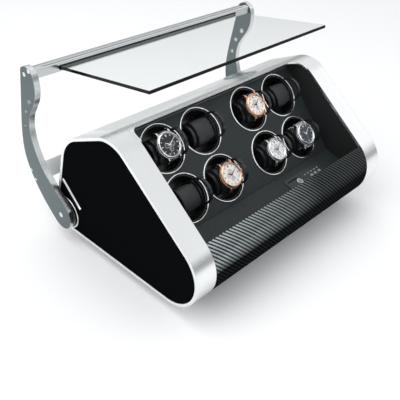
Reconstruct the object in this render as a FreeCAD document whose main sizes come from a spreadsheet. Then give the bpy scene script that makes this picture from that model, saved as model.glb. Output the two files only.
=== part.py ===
"""Eight-place watch winder box with a lift-up glass lid, as a parametric FreeCAD document.

The row frame is in millimetres: +X to the right, +Y to the back, +Z up, with the origin on the
floor under the middle of the whole box. The lid is modelled open, which is the rest pose. Every
sub-part is drawn about the side profile's datum, which stands a little in front of that origin.
"""

import FreeCAD
import Part
import math
import os

import Sketcher
from FreeCAD import Placement, Rotation, Vector

doc = FreeCAD.newDocument("watch_winder_box")
sheet = doc.addObject("Spreadsheet::Sheet", "dims")

DRIVING_DIMENSIONS = [
    # body shell
    ("datum_lead", 23.8),
    ("body_width", 470.0),
    ("band_width", 38.0),
    ("frame_wall", 5.0),
    ("frame_ledge", 4.0),
    ("floor_gap", 19.0),
    ("nose_y", -107.0),
    ("nose_radius", 60.0),
    ("apex_y", 4.0),
    ("apex_z", 243.0),
    ("apex_radius", 55.0),
    ("shoulder_y", 121.0),
    ("shoulder_z", 191.0),
    ("shoulder_radius", 68.0),
    ("rear_y", 167.0),
    ("heel_radius", 6.0),
    ("cover_thickness", 2.5),
    ("seam", 0.3),
    ("fit_gap", 0.15),
    ("side_panel_thickness", 3.0),
    ("side_panel_recess", 1.0),
    ("bulkhead_thickness", 4.0),
    ("opening_back_y", 18.0),
    ("opening_radius", 22.0),
    ("rear_seam_z", 155.0),
    ("base_front_y", -88.0),
    ("base_back_y", 150.0),
    ("foot_radius", 14.0),
    ("foot_x", 178.0),
    ("foot_front_y", -84.0),
    ("foot_back_y", 132.0),
    # winder panel and rotors
    ("panel_angle", 49.0),
    ("panel_thickness", 3.0),
    ("panel_top", 48.0),
    ("panel_fold", -126.7),
    ("panel_half_width", 196.5),
    ("upper_row_y", 3.6),
    ("upper_row_z", 188.1),
    ("row_pitch", 82.5),
    ("inner_column", 58.0),
    ("outer_column", 140.0),
    ("bezel_outer_radius", 39.8),
    ("bezel_inner_radius", 37.3),
    ("bezel_height", 1.6),
    ("panel_hole_radius", 37.6),
    ("cup_radius", 36.6),
    ("cup_wall", 2.0),
    ("cup_depth", 28.0),
    ("spindle_radius", 4.0),
    ("spindle_end", -52.0),
    ("running_clearance", 0.05),
    ("pulley_back", -39.0),
    ("pulley_width", 7.0),
    ("rotor_belt_radius", 26.0),
    ("motor_belt_radius", 6.5),
    ("belt_thickness", 1.1),
    ("belt_width", 2.0),
    ("upper_belt_level", -34.0),
    ("lower_belt_level", -37.2),
    ("motor_radius", 12.0),
    ("motor_length", 26.0),
    ("motor_shaft_radius", 1.5),
    ("plate_front", -42.0),
    ("plate_thickness", 3.0),
    ("bush_radius", 7.0),
    ("cushion_half_width", 17.6),
    ("cushion_half_height", 20.0),
    ("cushion_back", -9.7),
    ("cushion_edge", 4.5),
    ("cushion_crown", 12.0),
    ("hoop_radius", 22.0),
    ("hoop_thickness", 3.0),
    ("hoop_width", 5.0),
    ("hoop_inner_x", 22.0),
    ("raised_hoop_level", 8.0),
    ("sunk_hoop_level", -12.0),
    # ledge and controls
    ("ledge_angle", 16.0),
    ("ledge_length", 84.0),
    ("control_left_x", 50.0),
    ("control_right_x", 148.0),
    ("button_x", 80.0),
    ("button_radius", 4.0),
    # lid
    ("pivot_y", 127.0),
    ("pivot_z", 53.0),
    ("arm_inner_x", 239.0),
    ("arm_thickness", 10.0),
    ("arm_end_radius", 25.0),
    ("lid_spindle_radius", 6.0),
    ("hub_radius", 29.0),
    ("hub_barrel_radius", 14.0),
    ("glass_rear_y", 166.5),
    ("glass_rear_z", 277.1),
    ("glass_tilt", 8.46),
    ("glass_depth", 202.6),
    ("glass_half_width", 198.4),
    ("glass_thickness", 5.0),
    ("glass_grip", 10.0),
    ("crossbar_height", 28.0),
    ("crossbar_thickness", 5.0),
]
for row, (alias, number) in enumerate(DRIVING_DIMENSIONS, start=1):
    sheet.set(f"A{row}", alias)
    sheet.set(f"B{row}", str(number))
    sheet.setAlias(f"B{row}", alias)
doc.recompute()
NUMBERS = dict(DRIVING_DIMENSIONS)


class Dim:
    """A size with its number and the spreadsheet expression that drives it."""

    def __init__(self, number, text):
        self.number = number
        self.text = text

    def _join(self, sign, other, swap=False):
        other = other if isinstance(other, Dim) else Dim(float(other), f"({float(other)})")
        a, b = (other, self) if swap else (self, other)
        results = {
            "+": a.number + b.number,
            "-": a.number - b.number,
            "*": a.number * b.number,
            "/": a.number / b.number if b.number else 0.0,
        }
        return Dim(results[sign], f"({a.text} {sign} {b.text})")

    def __add__(self, other):
        return self._join("+", other)

    def __radd__(self, other):
        return self._join("+", other, swap=True)

    def __sub__(self, other):
        return self._join("-", other)

    def __rsub__(self, other):
        return self._join("-", other, swap=True)

    def __mul__(self, other):
        return self._join("*", other)

    def __rmul__(self, other):
        return self._join("*", other, swap=True)

    def __truediv__(self, other):
        return self._join("/", other)

    def __neg__(self):
        return self._join("*", -1.0)

    def __float__(self):
        return float(self.number)


def dim(alias):
    """The driving dimension with this alias."""
    return Dim(NUMBERS[alias], f"dims.{alias}")


def num(alias):
    """The number held by a driving dimension."""
    return NUMBERS[alias]


def bind(thing, name, size):
    """Sets a property and, for a driven size, binds it to the spreadsheet."""
    setattr(thing, name, float(size))
    if isinstance(size, Dim):
        thing.setExpression(name, size.text)


# ---------------------------------------------------------------------------------------------
# Frames of reference
# ---------------------------------------------------------------------------------------------

X_AXIS = Vector(1, 0, 0)
DATUM = Placement(Vector(0, -num("datum_lead"), 0), Rotation())
HALF_WIDTH = num("body_width") / 2
INNER_X = HALF_WIDTH - num("band_width")

PANEL_FRAME = Placement(
    Vector(0, num("upper_row_y"), num("upper_row_z")), Rotation(X_AXIS, num("panel_angle"))
)
FOLD = PANEL_FRAME.multVec(Vector(0, num("panel_fold"), 0))
LEDGE_FRAME = Placement(FOLD, Rotation(X_AXIS, num("ledge_angle")))
PIVOT = Vector(0, num("pivot_y"), num("pivot_z"))
PIVOT_FRAME = Placement(PIVOT, Rotation())
GLASS_FRAME = Placement(
    Vector(0, num("glass_rear_y"), num("glass_rear_z")), Rotation(X_AXIS, -num("glass_tilt"))
)
ORIGIN_FRAME = Placement()

COLUMNS = [-num("outer_column"), -num("inner_column"), num("inner_column"), num("outer_column")]
ROWS = {"upper": 0.0, "lower": -num("row_pitch")}
SIDES = {"left": -1, "right": 1}


# ---------------------------------------------------------------------------------------------
# Outlines
# ---------------------------------------------------------------------------------------------


def inset_corners(corners, distance):
    """The corners of a counter-clockwise polygon whose sides have moved inwards."""
    moved = []
    count = len(corners)
    for i in range(count):
        before, here, after = corners[i - 1], corners[i], corners[(i + 1) % count]
        lines = []
        for a, b in ((before, here), (here, after)):
            length = math.hypot(b[0] - a[0], b[1] - a[1])
            normal = (-(b[1] - a[1]) / length, (b[0] - a[0]) / length)
            lines.append((normal, normal[0] * a[0] + normal[1] * a[1] + distance))
        (n1, d1), (n2, d2) = lines
        cross = n1[0] * n2[1] - n1[1] * n2[0]
        moved.append(((d1 * n2[1] - d2 * n1[1]) / cross, (n1[0] * d2 - n2[0] * d1) / cross))
    return moved


def rounded_outline(corners, radii):
    """Lines and arcs round a polygon, as ("line", a, b) and ("arc", a, middle, b)."""
    count = len(corners)
    trims = []
    for i in range(count):
        before, here, after = corners[i - 1], corners[i], corners[(i + 1) % count]
        into = Vector(before[0] - here[0], before[1] - here[1], 0).normalize()
        out = Vector(after[0] - here[0], after[1] - here[1], 0).normalize()
        corner = Vector(here[0], here[1], 0)
        radius = radii[i]
        if radius <= 0:
            trims.append((corner, None, corner))
            continue
        half = into.getAngle(out) / 2
        centre = corner + (into + out).normalize() * (radius / math.sin(half))
        reach = radius / math.tan(half)
        middle = centre + (corner - centre).normalize() * radius
        trims.append((corner + into * reach, middle, corner + out * reach))
    pieces = []
    for i in range(count):
        start, middle, end = trims[i]
        if middle is not None:
            pieces.append(("arc", start, middle, end))
        following = trims[(i + 1) % count][0]
        if (following - end).Length > 1e-6:
            pieces.append(("line", end, following))
    return pieces


def nose_slope():
    """The angle of the slope's outward normal, and the nose circle's centre."""
    centre = Vector(num("nose_y"), num("floor_gap") + num("nose_radius"), 0)
    apex = Vector(num("apex_y"), num("apex_z"), 0)
    reach = apex - centre
    lean = math.atan2(reach.y, reach.x) + math.acos(num("nose_radius") / reach.Length)
    return lean, centre


def body_corners():
    """The four sharp corners of the box's side profile in (y, z), counter-clockwise."""
    lean, _ = nose_slope()
    apex = (num("apex_y"), num("apex_z"))
    drop = apex[1] - num("floor_gap")
    toe_y = apex[0] - drop * math.sin(lean) / -math.cos(lean)
    return [
        (toe_y, num("floor_gap")),
        (num("rear_y"), num("floor_gap")),
        (num("shoulder_y"), num("shoulder_z")),
        apex,
    ]


def body_outline(inset=0.0):
    """The side profile of the box, moved inwards by inset."""
    radii = [num("nose_radius"), num("heel_radius"), num("shoulder_radius"), num("apex_radius")]
    smallest = 0.8
    shrunk = [max(radius - inset, smallest) for radius in radii]
    return rounded_outline(inset_corners(body_corners(), inset), shrunk)


def polygon(points):
    """A plain closed polygon as outline pieces."""
    return rounded_outline(points, [0.0] * len(points))


# ---------------------------------------------------------------------------------------------
# Sketches and PartDesign features
# ---------------------------------------------------------------------------------------------

ALL_SUBPARTS = []


def new_body(name, frame):
    """A PartDesign body that stands in one of the frames of reference."""
    body = doc.addObject("PartDesign::Body", name)
    body.Label = name
    body.Placement = frame
    return body


def new_sketch(body, role, offset=0.0):
    """A sketch on one of the body's own origin planes, moved along that plane's normal."""
    plane = next(f for f in body.Origin.OriginFeatures if f.Role == role)
    sketch = body.newObject("Sketcher::SketchObject", f"{body.Name}_sketch")
    sketch.AttachmentSupport = [(plane, "")]
    sketch.MapMode = "FlatFace"
    sketch.AttachmentOffset = Placement(Vector(0, 0, float(offset)), Rotation())
    if isinstance(offset, Dim):
        sketch.setExpression("AttachmentOffset.Base.z", offset.text)
    return sketch


def draw(sketch, pieces):
    """Adds outline pieces to a sketch."""
    for kind, *points in pieces:
        points = [Vector(p[0], p[1], 0) for p in points]
        if kind == "line":
            sketch.addGeometry(Part.LineSegment(*points), False)
        elif kind == "arc":
            sketch.addGeometry(Part.Arc(*points), False)
        else:
            curve = Part.BSplineCurve()
            curve.interpolate(points)
            sketch.addGeometry(curve, False)


def constrain(sketch, kind, geometry, size):
    """One driven constraint on a sketch."""
    index = sketch.addConstraint(Sketcher.Constraint(kind, *geometry, float(size)))
    if isinstance(size, Dim):
        sketch.setExpression(f"Constraints[{index}]", size.text)


def draw_circle(sketch, radius, x=0.0, y=0.0):
    """A circle with a driven radius and centre."""
    centre = Vector(float(x), float(y), 0)
    circle = sketch.addGeometry(Part.Circle(centre, Vector(0, 0, 1), float(radius)), False)
    constrain(sketch, "Radius", (circle,), radius)
    if abs(centre.x) + abs(centre.y) < 1e-9:
        sketch.addConstraint(Sketcher.Constraint("Coincident", circle, 3, -1, 1))
        return
    for kind, place, value in (("DistanceX", centre.x, x), ("DistanceY", centre.y, y)):
        if abs(place) < 1e-9:
            axis = -2 if kind == "DistanceX" else -1
            sketch.addConstraint(Sketcher.Constraint("PointOnObject", circle, 3, axis))
        elif place > 0:
            constrain(sketch, kind, (-1, 1, circle, 3), value)
        else:
            constrain(sketch, kind, (circle, 3, -1, 1), -value)


def draw_box(sketch, x1, y1, x2, y2):
    """A rectangle between two driven corners."""
    corners = [(x1, y1), (x2, y1), (x2, y2), (x1, y2)]
    points = [Vector(float(x), float(y), 0) for x, y in corners]
    sides = [
        sketch.addGeometry(Part.LineSegment(points[i], points[(i + 1) % 4]), False)
        for i in range(4)
    ]
    for i in range(4):
        following = sides[(i + 1) % 4]
        sketch.addConstraint(Sketcher.Constraint("Coincident", sides[i], 2, following, 1))
        level = "Horizontal" if i % 2 == 0 else "Vertical"
        sketch.addConstraint(Sketcher.Constraint(level, sides[i]))
    for line, x, y in ((sides[0], x1, y1), (sides[2], x2, y2)):
        for kind, value in (("DistanceX", x), ("DistanceY", y)):
            if abs(float(value)) < 1e-9:
                axis = -2 if kind == "DistanceX" else -1
                sketch.addConstraint(Sketcher.Constraint("PointOnObject", line, 1, axis))
            elif float(value) > 0:
                constrain(sketch, kind, (-1, 1, line, 1), value)
            else:
                constrain(sketch, kind, (line, 1, -1, 1), -value)


def pad(body, sketch, length, middle=False):
    """Grows a sketch into the solid along its plane's normal."""
    feature = body.newObject("PartDesign::Pad", f"{body.Name}_pad")
    feature.Profile = sketch
    bind(feature, "Length", length)
    feature.Midplane = middle
    return feature


def cut(body, sketch, length=None, reverse=False):
    """Cuts a sketch out of the solid: right through, or to a depth along the plane's normal."""
    feature = body.newObject("PartDesign::Pocket", f"{body.Name}_pocket")
    feature.Profile = sketch
    if length is None:
        feature.Type = "ThroughAll"
        feature.Midplane = True
    else:
        bind(feature, "Length", length)
        feature.Reversed = not reverse
    return feature


def revolve(body, sketch):
    """Turns a sketch on the XZ plane about the body's own Z axis."""
    feature = body.newObject("PartDesign::Revolution", f"{body.Name}_revolution")
    feature.Profile = sketch
    feature.ReferenceAxis = (sketch, ["V_Axis"])
    feature.Angle = 360.0
    return feature


def keep(thing):
    """Moves a finished sub-part from the profile's datum into the row frame."""
    thing.Placement = DATUM.multiply(thing.Placement)
    ALL_SUBPARTS.append(thing)
    return thing


def cylinder(name, radius, height, place, axis=Vector(0, 0, 1)):
    """A Part cylinder that starts at place and runs along axis."""
    solid = doc.addObject("Part::Cylinder", name)
    bind(solid, "Radius", radius)
    bind(solid, "Height", height)
    solid.Placement = Placement(place, Rotation(Vector(0, 0, 1), axis))
    return solid


def box(name, size, place):
    """A Part box with its low corner at place."""
    solid = doc.addObject("Part::Box", name)
    for side, length in zip(("Length", "Width", "Height"), size):
        bind(solid, side, length)
    solid.Placement = Placement(place, Rotation())
    return solid


def fused(name, shapes):
    """One solid from several."""
    joined = doc.addObject("Part::MultiFuse", name)
    joined.Shapes = shapes
    return joined


def minus(name, base, tool):
    """A base with a tool cut away."""
    result = doc.addObject("Part::Cut", name)
    result.Base = base
    result.Tool = tool
    return result


def group(name, solids, frame=ORIGIN_FRAME):
    """Separate solids that share one node."""
    together = doc.addObject("Part::Compound", name)
    together.Label = name
    together.Links = solids
    together.Placement = frame
    return keep(together)


# ---------------------------------------------------------------------------------------------
# Shell of the box
# ---------------------------------------------------------------------------------------------


def end_frame(side):
    """A wide end band: a closed ring of the side profile, with seats on both faces."""
    sign = SIDES[side]
    low = -HALF_WIDTH if sign < 0 else INNER_X
    body = new_body(f"{side}_end_frame", ORIGIN_FRAME)
    outer = new_sketch(body, "YZ_Plane", low)
    draw(outer, body_outline())
    pad(body, outer, dim("band_width"))
    wall, ledge = num("frame_wall"), num("frame_ledge")
    hollow = new_sketch(body, "YZ_Plane", low)
    draw(hollow, body_outline(wall + ledge))
    cut(body, hollow)
    inner_depth = dim("bulkhead_thickness")
    outer_depth = dim("side_panel_thickness") + dim("side_panel_recess")
    low_depth = outer_depth if sign < 0 else inner_depth
    high_depth = inner_depth if sign < 0 else outer_depth
    low_seat = new_sketch(body, "YZ_Plane", low)
    draw(low_seat, body_outline(wall))
    cut(body, low_seat, low_depth)
    high_seat = new_sketch(body, "YZ_Plane", low + num("band_width"))
    draw(high_seat, body_outline(wall))
    cut(body, high_seat, high_depth, reverse=True)
    return keep(body)


def end_plate(name, low, thickness):
    """A plate that drops into an end frame's seat, with a hole for the pivot's barrel."""
    body = new_body(name, ORIGIN_FRAME)
    plate = new_sketch(body, "YZ_Plane", low)
    draw(plate, body_outline(num("frame_wall") + num("fit_gap")))
    pad(body, plate, thickness)
    hole = new_sketch(body, "YZ_Plane", low)
    draw_circle(hole, dim("hub_barrel_radius") + dim("fit_gap"), dim("pivot_y"), dim("pivot_z"))
    cut(body, hole)
    return body


def side_panels():
    """The carbon-fibre panels set into the outer faces of the end frames."""
    outer_face = HALF_WIDTH - num("side_panel_recess")
    inner_face = outer_face - num("side_panel_thickness")
    thickness = dim("side_panel_thickness")
    plates = [end_plate("side_plate", low, thickness) for low in (-outer_face, inner_face)]
    return group("side_panels", plates)


def bulkheads():
    """The black inner walls that close the compartment's ends and carry the drive plate."""
    thickness = dim("bulkhead_thickness")
    lows = (-INNER_X - num("bulkhead_thickness"), INNER_X)
    return group("bulkheads", [end_plate("inner_plate", low, thickness) for low in lows])


def shell(name, thickness, kept):
    """A sheet that follows the side profile between the end frames, kept inside one region."""
    body = new_body(name, ORIGIN_FRAME)
    length = 2 * (INNER_X - num("seam"))
    ring = new_sketch(body, "YZ_Plane")
    draw(ring, body_outline())
    draw(ring, body_outline(num(thickness)))
    pad(body, ring, length, middle=True)
    far = 500.0
    region = new_sketch(body, "YZ_Plane")
    draw(region, polygon([(-far, -far), (far, -far), (far, far), (-far, far)]))
    draw(region, polygon(kept))
    cut(body, region)
    return body


REACH = 400.0


def top_cover():
    """Rolled cover from the opening's top edge, over the apex and down round the shoulder."""
    front = num("opening_back_y") - num("opening_radius") - 8.0
    seam_z = num("rear_seam_z")
    region = [(front, seam_z), (REACH, seam_z), (REACH, REACH), (front, REACH)]
    body = shell("top_cover", "cover_thickness", region)
    opening = new_sketch(body, "XY_Plane", 150.0)
    half = INNER_X - 3.0
    corners = [(-half, -200.0), (half, -200.0)]
    corners += [(half, num("opening_back_y")), (-half, num("opening_back_y"))]
    radius = num("opening_radius")
    draw(opening, rounded_outline(corners, [0.0, 0.0, radius, radius]))
    cut(body, opening)
    return keep(body)


VENT_COLUMNS = 11
VENT_PITCH = 14.0
SOCKET_X = 150.0
SOCKET_Z = 48.0


def rear_cover():
    """Rear sheet with vent slots and the hole for the power socket."""
    seam_z = num("rear_seam_z") - num("seam")
    start = num("base_back_y") + num("seam")
    region = [(start, 0.0), (REACH, 0.0), (REACH, seam_z), (60.0, seam_z), (60.0, 40.0)]
    region += [(start, 40.0)]
    body = shell("rear_cover", "cover_thickness", region)
    vents = new_sketch(body, "XZ_Plane")
    slot_half, slot_top, slot_bottom = 2.0, 118.0, 92.0
    for i in range(VENT_COLUMNS):
        x = (i - (VENT_COLUMNS - 1) / 2) * VENT_PITCH
        slot = [(x - slot_half, slot_bottom), (x + slot_half, slot_bottom)]
        slot += [(x + slot_half, slot_top), (x - slot_half, slot_top)]
        draw(vents, rounded_outline(slot, [1.9] * 4))
    cut(body, vents)
    socket = new_sketch(body, "XZ_Plane")
    draw_circle(socket, 7.2, SOCKET_X, SOCKET_Z)
    cut(body, socket)
    return keep(body)


def front_apron():
    """Carbon-fibre sheet rolled round the nose, from the sloped face to the underside."""
    lean, centre = nose_slope()
    tip = (centre.x + REACH * math.cos(lean), centre.y + REACH * math.sin(lean))
    front = num("base_front_y")
    region = [(centre.x, centre.y), tip, (-REACH * 2, tip[1]), (-REACH * 2, -REACH)]
    region += [(front, -REACH), (front, centre.y)]
    return keep(shell("front_apron", "cover_thickness", region))


def base_plate():
    """Flat floor of the box between the apron and the rear cover."""
    front = num("base_front_y") + num("seam")
    region = [(front, 0.0), (num("base_back_y"), 0.0), (num("base_back_y"), 40.0), (front, 40.0)]
    return keep(shell("base_plate", "cover_thickness", region))


def rubber_feet():
    """Four stepped rubber feet that lift the box off the table."""
    feet = []
    for x in (-num("foot_x"), num("foot_x")):
        for y in (num("foot_front_y"), num("foot_back_y")):
            body = new_body("foot", Placement(Vector(x, y, 0), Rotation()))
            radius, top = num("foot_radius"), num("floor_gap") - num("fit_gap") / 5
            profile = [(0.0, 0.0), (radius - 2.0, 0.0), (radius, 4.0), (radius - 1.5, top)]
            sketch = new_sketch(body, "XZ_Plane")
            draw(sketch, rounded_outline(profile + [(0.0, top)], [0, 1.2, 1.5, 0, 0]))
            revolve(body, sketch)
            feet.append(body)
    return group("rubber_feet", feet)


# ---------------------------------------------------------------------------------------------
# Winder panel, ledge and what is fixed to them
# ---------------------------------------------------------------------------------------------


def rotor_places():
    """Every rotor's name with its centre on the panel."""
    return [(f"{row}_{i + 1}", x, y) for row, y in ROWS.items() for i, x in enumerate(COLUMNS)]


def rotor_panel():
    """Leather-covered sloped board with eight round openings."""
    body = new_body("rotor_panel", PANEL_FRAME)
    board = new_sketch(body, "XY_Plane", -dim("panel_thickness"))
    half = dim("panel_half_width")
    draw_box(board, -half, dim("panel_fold"), half, dim("panel_top"))
    pad(body, board, dim("panel_thickness"))
    holes = new_sketch(body, "XY_Plane")
    for _, x, y in rotor_places():
        draw_circle(holes, dim("panel_hole_radius"), x, y)
    cut(body, holes)
    return keep(body)


LEDGE_THICKNESS = 3.0
LEDGE_JOINT = 0.4
CONTROL_BACK = -13.0
CONTROL_FRONT = -50.0
CONTROL_THICKNESS = 1.2
CONTROL_LIFT = 0.05
BUTTON_Y = -27.0
DISPLAY_INSET = (5.0, 30.0)
DISPLAY_Y = (-21.0, -17.5)
DISPLAY_FLOOR = 0.65


def ledge_panel():
    """Leather-covered ledge between the foot of the rotor panel and the front apron."""
    body = new_body("ledge_panel", LEDGE_FRAME)
    board = new_sketch(body, "XY_Plane", -LEDGE_THICKNESS)
    half = dim("panel_half_width")
    draw_box(board, -half, -dim("ledge_length"), half, -LEDGE_JOINT)
    pad(body, board, LEDGE_THICKNESS)
    hole = new_sketch(body, "XY_Plane")
    draw_circle(hole, dim("button_radius") + 0.4, dim("button_x"), BUTTON_Y)
    cut(body, hole)
    return keep(body)


def control_panel():
    """Thin control fascia on the ledge, with a display slot and the button's hole."""
    body = new_body("control_panel", LEDGE_FRAME)
    fascia = new_sketch(body, "XY_Plane", CONTROL_LIFT)
    left, right = num("control_left_x"), num("control_right_x")
    corners = [(left, CONTROL_FRONT), (right, CONTROL_FRONT)]
    corners += [(right, CONTROL_BACK), (left, CONTROL_BACK)]
    draw(fascia, rounded_outline(corners, [2.0] * 4))
    pad(body, fascia, CONTROL_THICKNESS)
    hole = new_sketch(body, "XY_Plane")
    draw_circle(hole, dim("button_radius") + 0.2, dim("button_x"), BUTTON_Y)
    cut(body, hole)
    window = new_sketch(body, "XY_Plane", DISPLAY_FLOOR)
    draw_box(window, left + DISPLAY_INSET[0], DISPLAY_Y[0], left + DISPLAY_INSET[1], DISPLAY_Y[1])
    cut(body, window, 2 * CONTROL_THICKNESS)
    return keep(body)


BUTTON_PROUD = 2.6


def program_button():
    """Round push button that works a switch under the ledge."""
    radius = num("button_radius")
    body = new_body("program_button", LEDGE_FRAME.multiply(
        Placement(Vector(num("button_x"), BUTTON_Y, 0), Rotation())))
    profile = [(0.0, -LEDGE_THICKNESS), (radius, -LEDGE_THICKNESS), (radius, BUTTON_PROUD)]
    sketch = new_sketch(body, "XZ_Plane")
    draw(sketch, rounded_outline(profile + [(0.0, BUTTON_PROUD)], [0, 0, 0.8, 0]))
    revolve(body, sketch)
    return keep(body)


def bezel_rings():
    """Polished rings round the eight openings."""
    rings = []
    for _, x, y in rotor_places():
        body = new_body("ring", Placement(Vector(x, y, 0.02), Rotation()))
        inner, outer = num("bezel_inner_radius"), num("bezel_outer_radius")
        height = num("bezel_height")
        corners = [(inner, 0.0), (outer, 0.0), (outer, height), (inner, height)]
        sketch = new_sketch(body, "XZ_Plane")
        draw(sketch, rounded_outline(corners, [0.0, 0.0, 1.0, 1.0]))
        revolve(body, sketch)
        rings.append(body)
    return group("bezel_rings", rings, PANEL_FRAME)


def motor_places():
    """Every column's motor centre on the panel, half way between its two rotors."""
    return [(x, -num("row_pitch") / 2) for x in COLUMNS]


PLATE_MARGIN = (40.0, 36.0)
FLANGE_DEPTH = 14.0
FLANGE_SHEET = 2.5
FLANGE_OVERLAP = 0.5
MOTOR_HOLE_RADIUS = 4.2


def drive_plate():
    """Steel plate behind the rotors that carries their bushes and the four motors."""
    body = new_body("drive_plate", PANEL_FRAME)
    half = dim("panel_half_width")
    front, thickness = dim("plate_front"), dim("plate_thickness")
    low, high = -dim("row_pitch") - PLATE_MARGIN[0], PLATE_MARGIN[1]
    plate = new_sketch(body, "XY_Plane", front - thickness)
    draw_box(plate, -half, low, half, high)
    pad(body, plate, thickness)
    flanges = new_sketch(body, "XY_Plane", front - thickness - FLANGE_DEPTH)
    draw_box(flanges, half - FLANGE_SHEET, low, half, high)
    draw_box(flanges, -half, low, -half + FLANGE_SHEET, high)
    pad(body, flanges, FLANGE_DEPTH + FLANGE_OVERLAP)
    holes = new_sketch(body, "XY_Plane")
    for _, x, y in rotor_places():
        draw_circle(holes, dim("bush_radius") + dim("running_clearance"), x, y)
    for x, y in motor_places():
        draw_circle(holes, MOTOR_HOLE_RADIUS, x, y)
    cut(body, holes)
    return keep(body)


def rotor_bushes():
    """Flanged bronze bushes that the rotor spindles turn in."""
    bushes = []
    bore = num("spindle_radius") + num("running_clearance")
    front = num("plate_front")
    back = front - num("plate_thickness") - 3.0
    radius = num("bush_radius")
    flange_back, flange_front, flange_radius = front + 0.02, front + 2.0, radius + 2.5
    for _, x, y in rotor_places():
        body = new_body("bush", Placement(Vector(x, y, 0), Rotation()))
        sketch = new_sketch(body, "XZ_Plane")
        outline = [(bore, back), (radius, back), (radius, flange_back)]
        outline += [(flange_radius, flange_back), (flange_radius, flange_front)]
        outline += [(bore, flange_front)]
        draw(sketch, polygon(outline))
        revolve(body, sketch)
        bushes.append(body)
    return group("rotor_bushes", bushes, PANEL_FRAME)


STANDOFF_RADIUS = 4.0
STANDOFF_PLACES = [(0.0, 12.0), (0.0, -94.5), (-99.0, -41.25), (99.0, -41.25)]
STANDOFF_PLACES += [(-187.0, -41.25), (187.0, -41.25)]


def panel_standoffs():
    """Six turned pillars that hold the panel in front of the drive plate."""
    low = num("plate_front") + num("seam") / 10
    length = -num("panel_thickness") - low - num("seam") / 10
    posts = [
        cylinder("post", STANDOFF_RADIUS, length, Vector(x, y, low)) for x, y in STANDOFF_PLACES
    ]
    return group("panel_standoffs", posts, PANEL_FRAME)


MOTOR_BORE_DEPTH = 12.0
MOTOR_CAP_STEP = 3.0


def drive_motors():
    """One small geared motor per column, on the back of the drive plate."""
    motors = []
    back = num("plate_front") - num("plate_thickness") - 0.03
    for x, y in motor_places():
        body = new_body("motor", Placement(Vector(x, y, 0), Rotation()))
        radius, length = num("motor_radius"), num("motor_length")
        bore = num("motor_shaft_radius") + num("running_clearance")
        sketch = new_sketch(body, "XZ_Plane")
        bore_end, cap_end = back - MOTOR_BORE_DEPTH, back - length
        cap_radius, cap_start = radius - MOTOR_CAP_STEP, cap_end + MOTOR_CAP_STEP
        outline = [(bore, back), (bore, bore_end), (0.0, bore_end), (0.0, cap_end)]
        outline += [(cap_radius, cap_end), (cap_radius, cap_start)]
        outline += [(radius, cap_start), (radius, back)]
        draw(sketch, polygon(outline))
        revolve(body, sketch)
        motors.append(body)
    return group("drive_motors", motors, PANEL_FRAME)


# ---------------------------------------------------------------------------------------------
# Belt drive
# ---------------------------------------------------------------------------------------------

BELT_GAP = 0.03
RIM_PROUD = 0.1


def grooved_rim(alias, levels, back, front):
    """A pulley's rim from back to front as (radius, level) points, with a groove per belt."""
    half_belt = num("belt_thickness") / 2
    floor = num(alias) - half_belt - BELT_GAP
    rim = num(alias) + half_belt + RIM_PROUD
    half_groove = num("belt_width") / 2 + 0.15
    points = [(rim, back)]
    for level in sorted(levels):
        low, high = level - half_groove, level + half_groove
        points += [(rim, low), (floor, low), (floor, high), (rim, high)]
    return points + [(rim, front)]


def belt_loop(x, rotor_y, motor_y, shift):
    """A loop round a rotor's and a motor's pulleys, moved outwards from the belt's middle."""
    big, small = num("rotor_belt_radius") + shift, num("motor_belt_radius") + shift
    toward = -1 if motor_y < rotor_y else 1
    contact = math.acos((big - small) / abs(rotor_y - motor_y))

    def spot(centre_y, radius, angle):
        across, along = radius * math.sin(angle), radius * math.cos(angle)
        return (x + across, centre_y + toward * along)

    return [
        ("arc", spot(rotor_y, big, contact), spot(rotor_y, big, math.pi),
         spot(rotor_y, big, -contact)),
        ("line", spot(rotor_y, big, -contact), spot(motor_y, small, -contact)),
        ("arc", spot(motor_y, small, -contact), spot(motor_y, small, 0.0),
         spot(motor_y, small, contact)),
        ("line", spot(motor_y, small, contact), spot(rotor_y, big, contact)),
    ]


def drive_belts():
    """Eight flat rubber belts: each joins one rotor to the motor of its column."""
    belts = []
    half = num("belt_thickness") / 2
    for row, rotor_y in ROWS.items():
        level = dim(f"{row}_belt_level") - dim("belt_width") / 2
        for x, motor_y in motor_places():
            body = new_body("belt", ORIGIN_FRAME)
            sketch = new_sketch(body, "XY_Plane", level)
            draw(sketch, belt_loop(x, rotor_y, motor_y, half))
            draw(sketch, belt_loop(x, rotor_y, motor_y, -half))
            pad(body, sketch, dim("belt_width"))
            belts.append(body)
    return group("drive_belts", belts, PANEL_FRAME)


# ---------------------------------------------------------------------------------------------
# Rotors, cushions and motor pulleys
# ---------------------------------------------------------------------------------------------


def half_ring(level, foot):
    """A standing hoop with two legs down to the level of its feet, drawn in (y, z)."""
    outer = num("hoop_radius")
    inner = outer - num("hoop_thickness")
    return [
        ("line", (outer, foot), (outer, level)),
        ("arc", (outer, level), (0.0, level + outer), (-outer, level)),
        ("line", (-outer, level), (-outer, foot)),
        ("line", (-outer, foot), (-inner, foot)),
        ("line", (-inner, foot), (-inner, level)),
        ("arc", (-inner, level), (0.0, level + inner), (inner, level)),
        ("line", (inner, level), (inner, foot)),
        ("line", (inner, foot), (outer, foot)),
    ]


def crowned(half_height, back, edge, crown):
    """A block outline in (y, z) with an arched front."""
    return [
        ("line", (-half_height, back), (half_height, back)),
        ("line", (half_height, back), (half_height, edge)),
        ("arc", (half_height, edge), (0.0, crown), (-half_height, edge)),
        ("line", (-half_height, edge), (-half_height, back)),
    ]


FLANGE_THICKNESS = 1.5
FLANGE_PROUD = 1.0
BOSS_RADIUS = 12.0
RIM_LEVEL = -0.6
SEAT_HALF_HEIGHT = 15.0
TOUCH_GAP = 0.03
TRIM_REACH = 60.0


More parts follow.
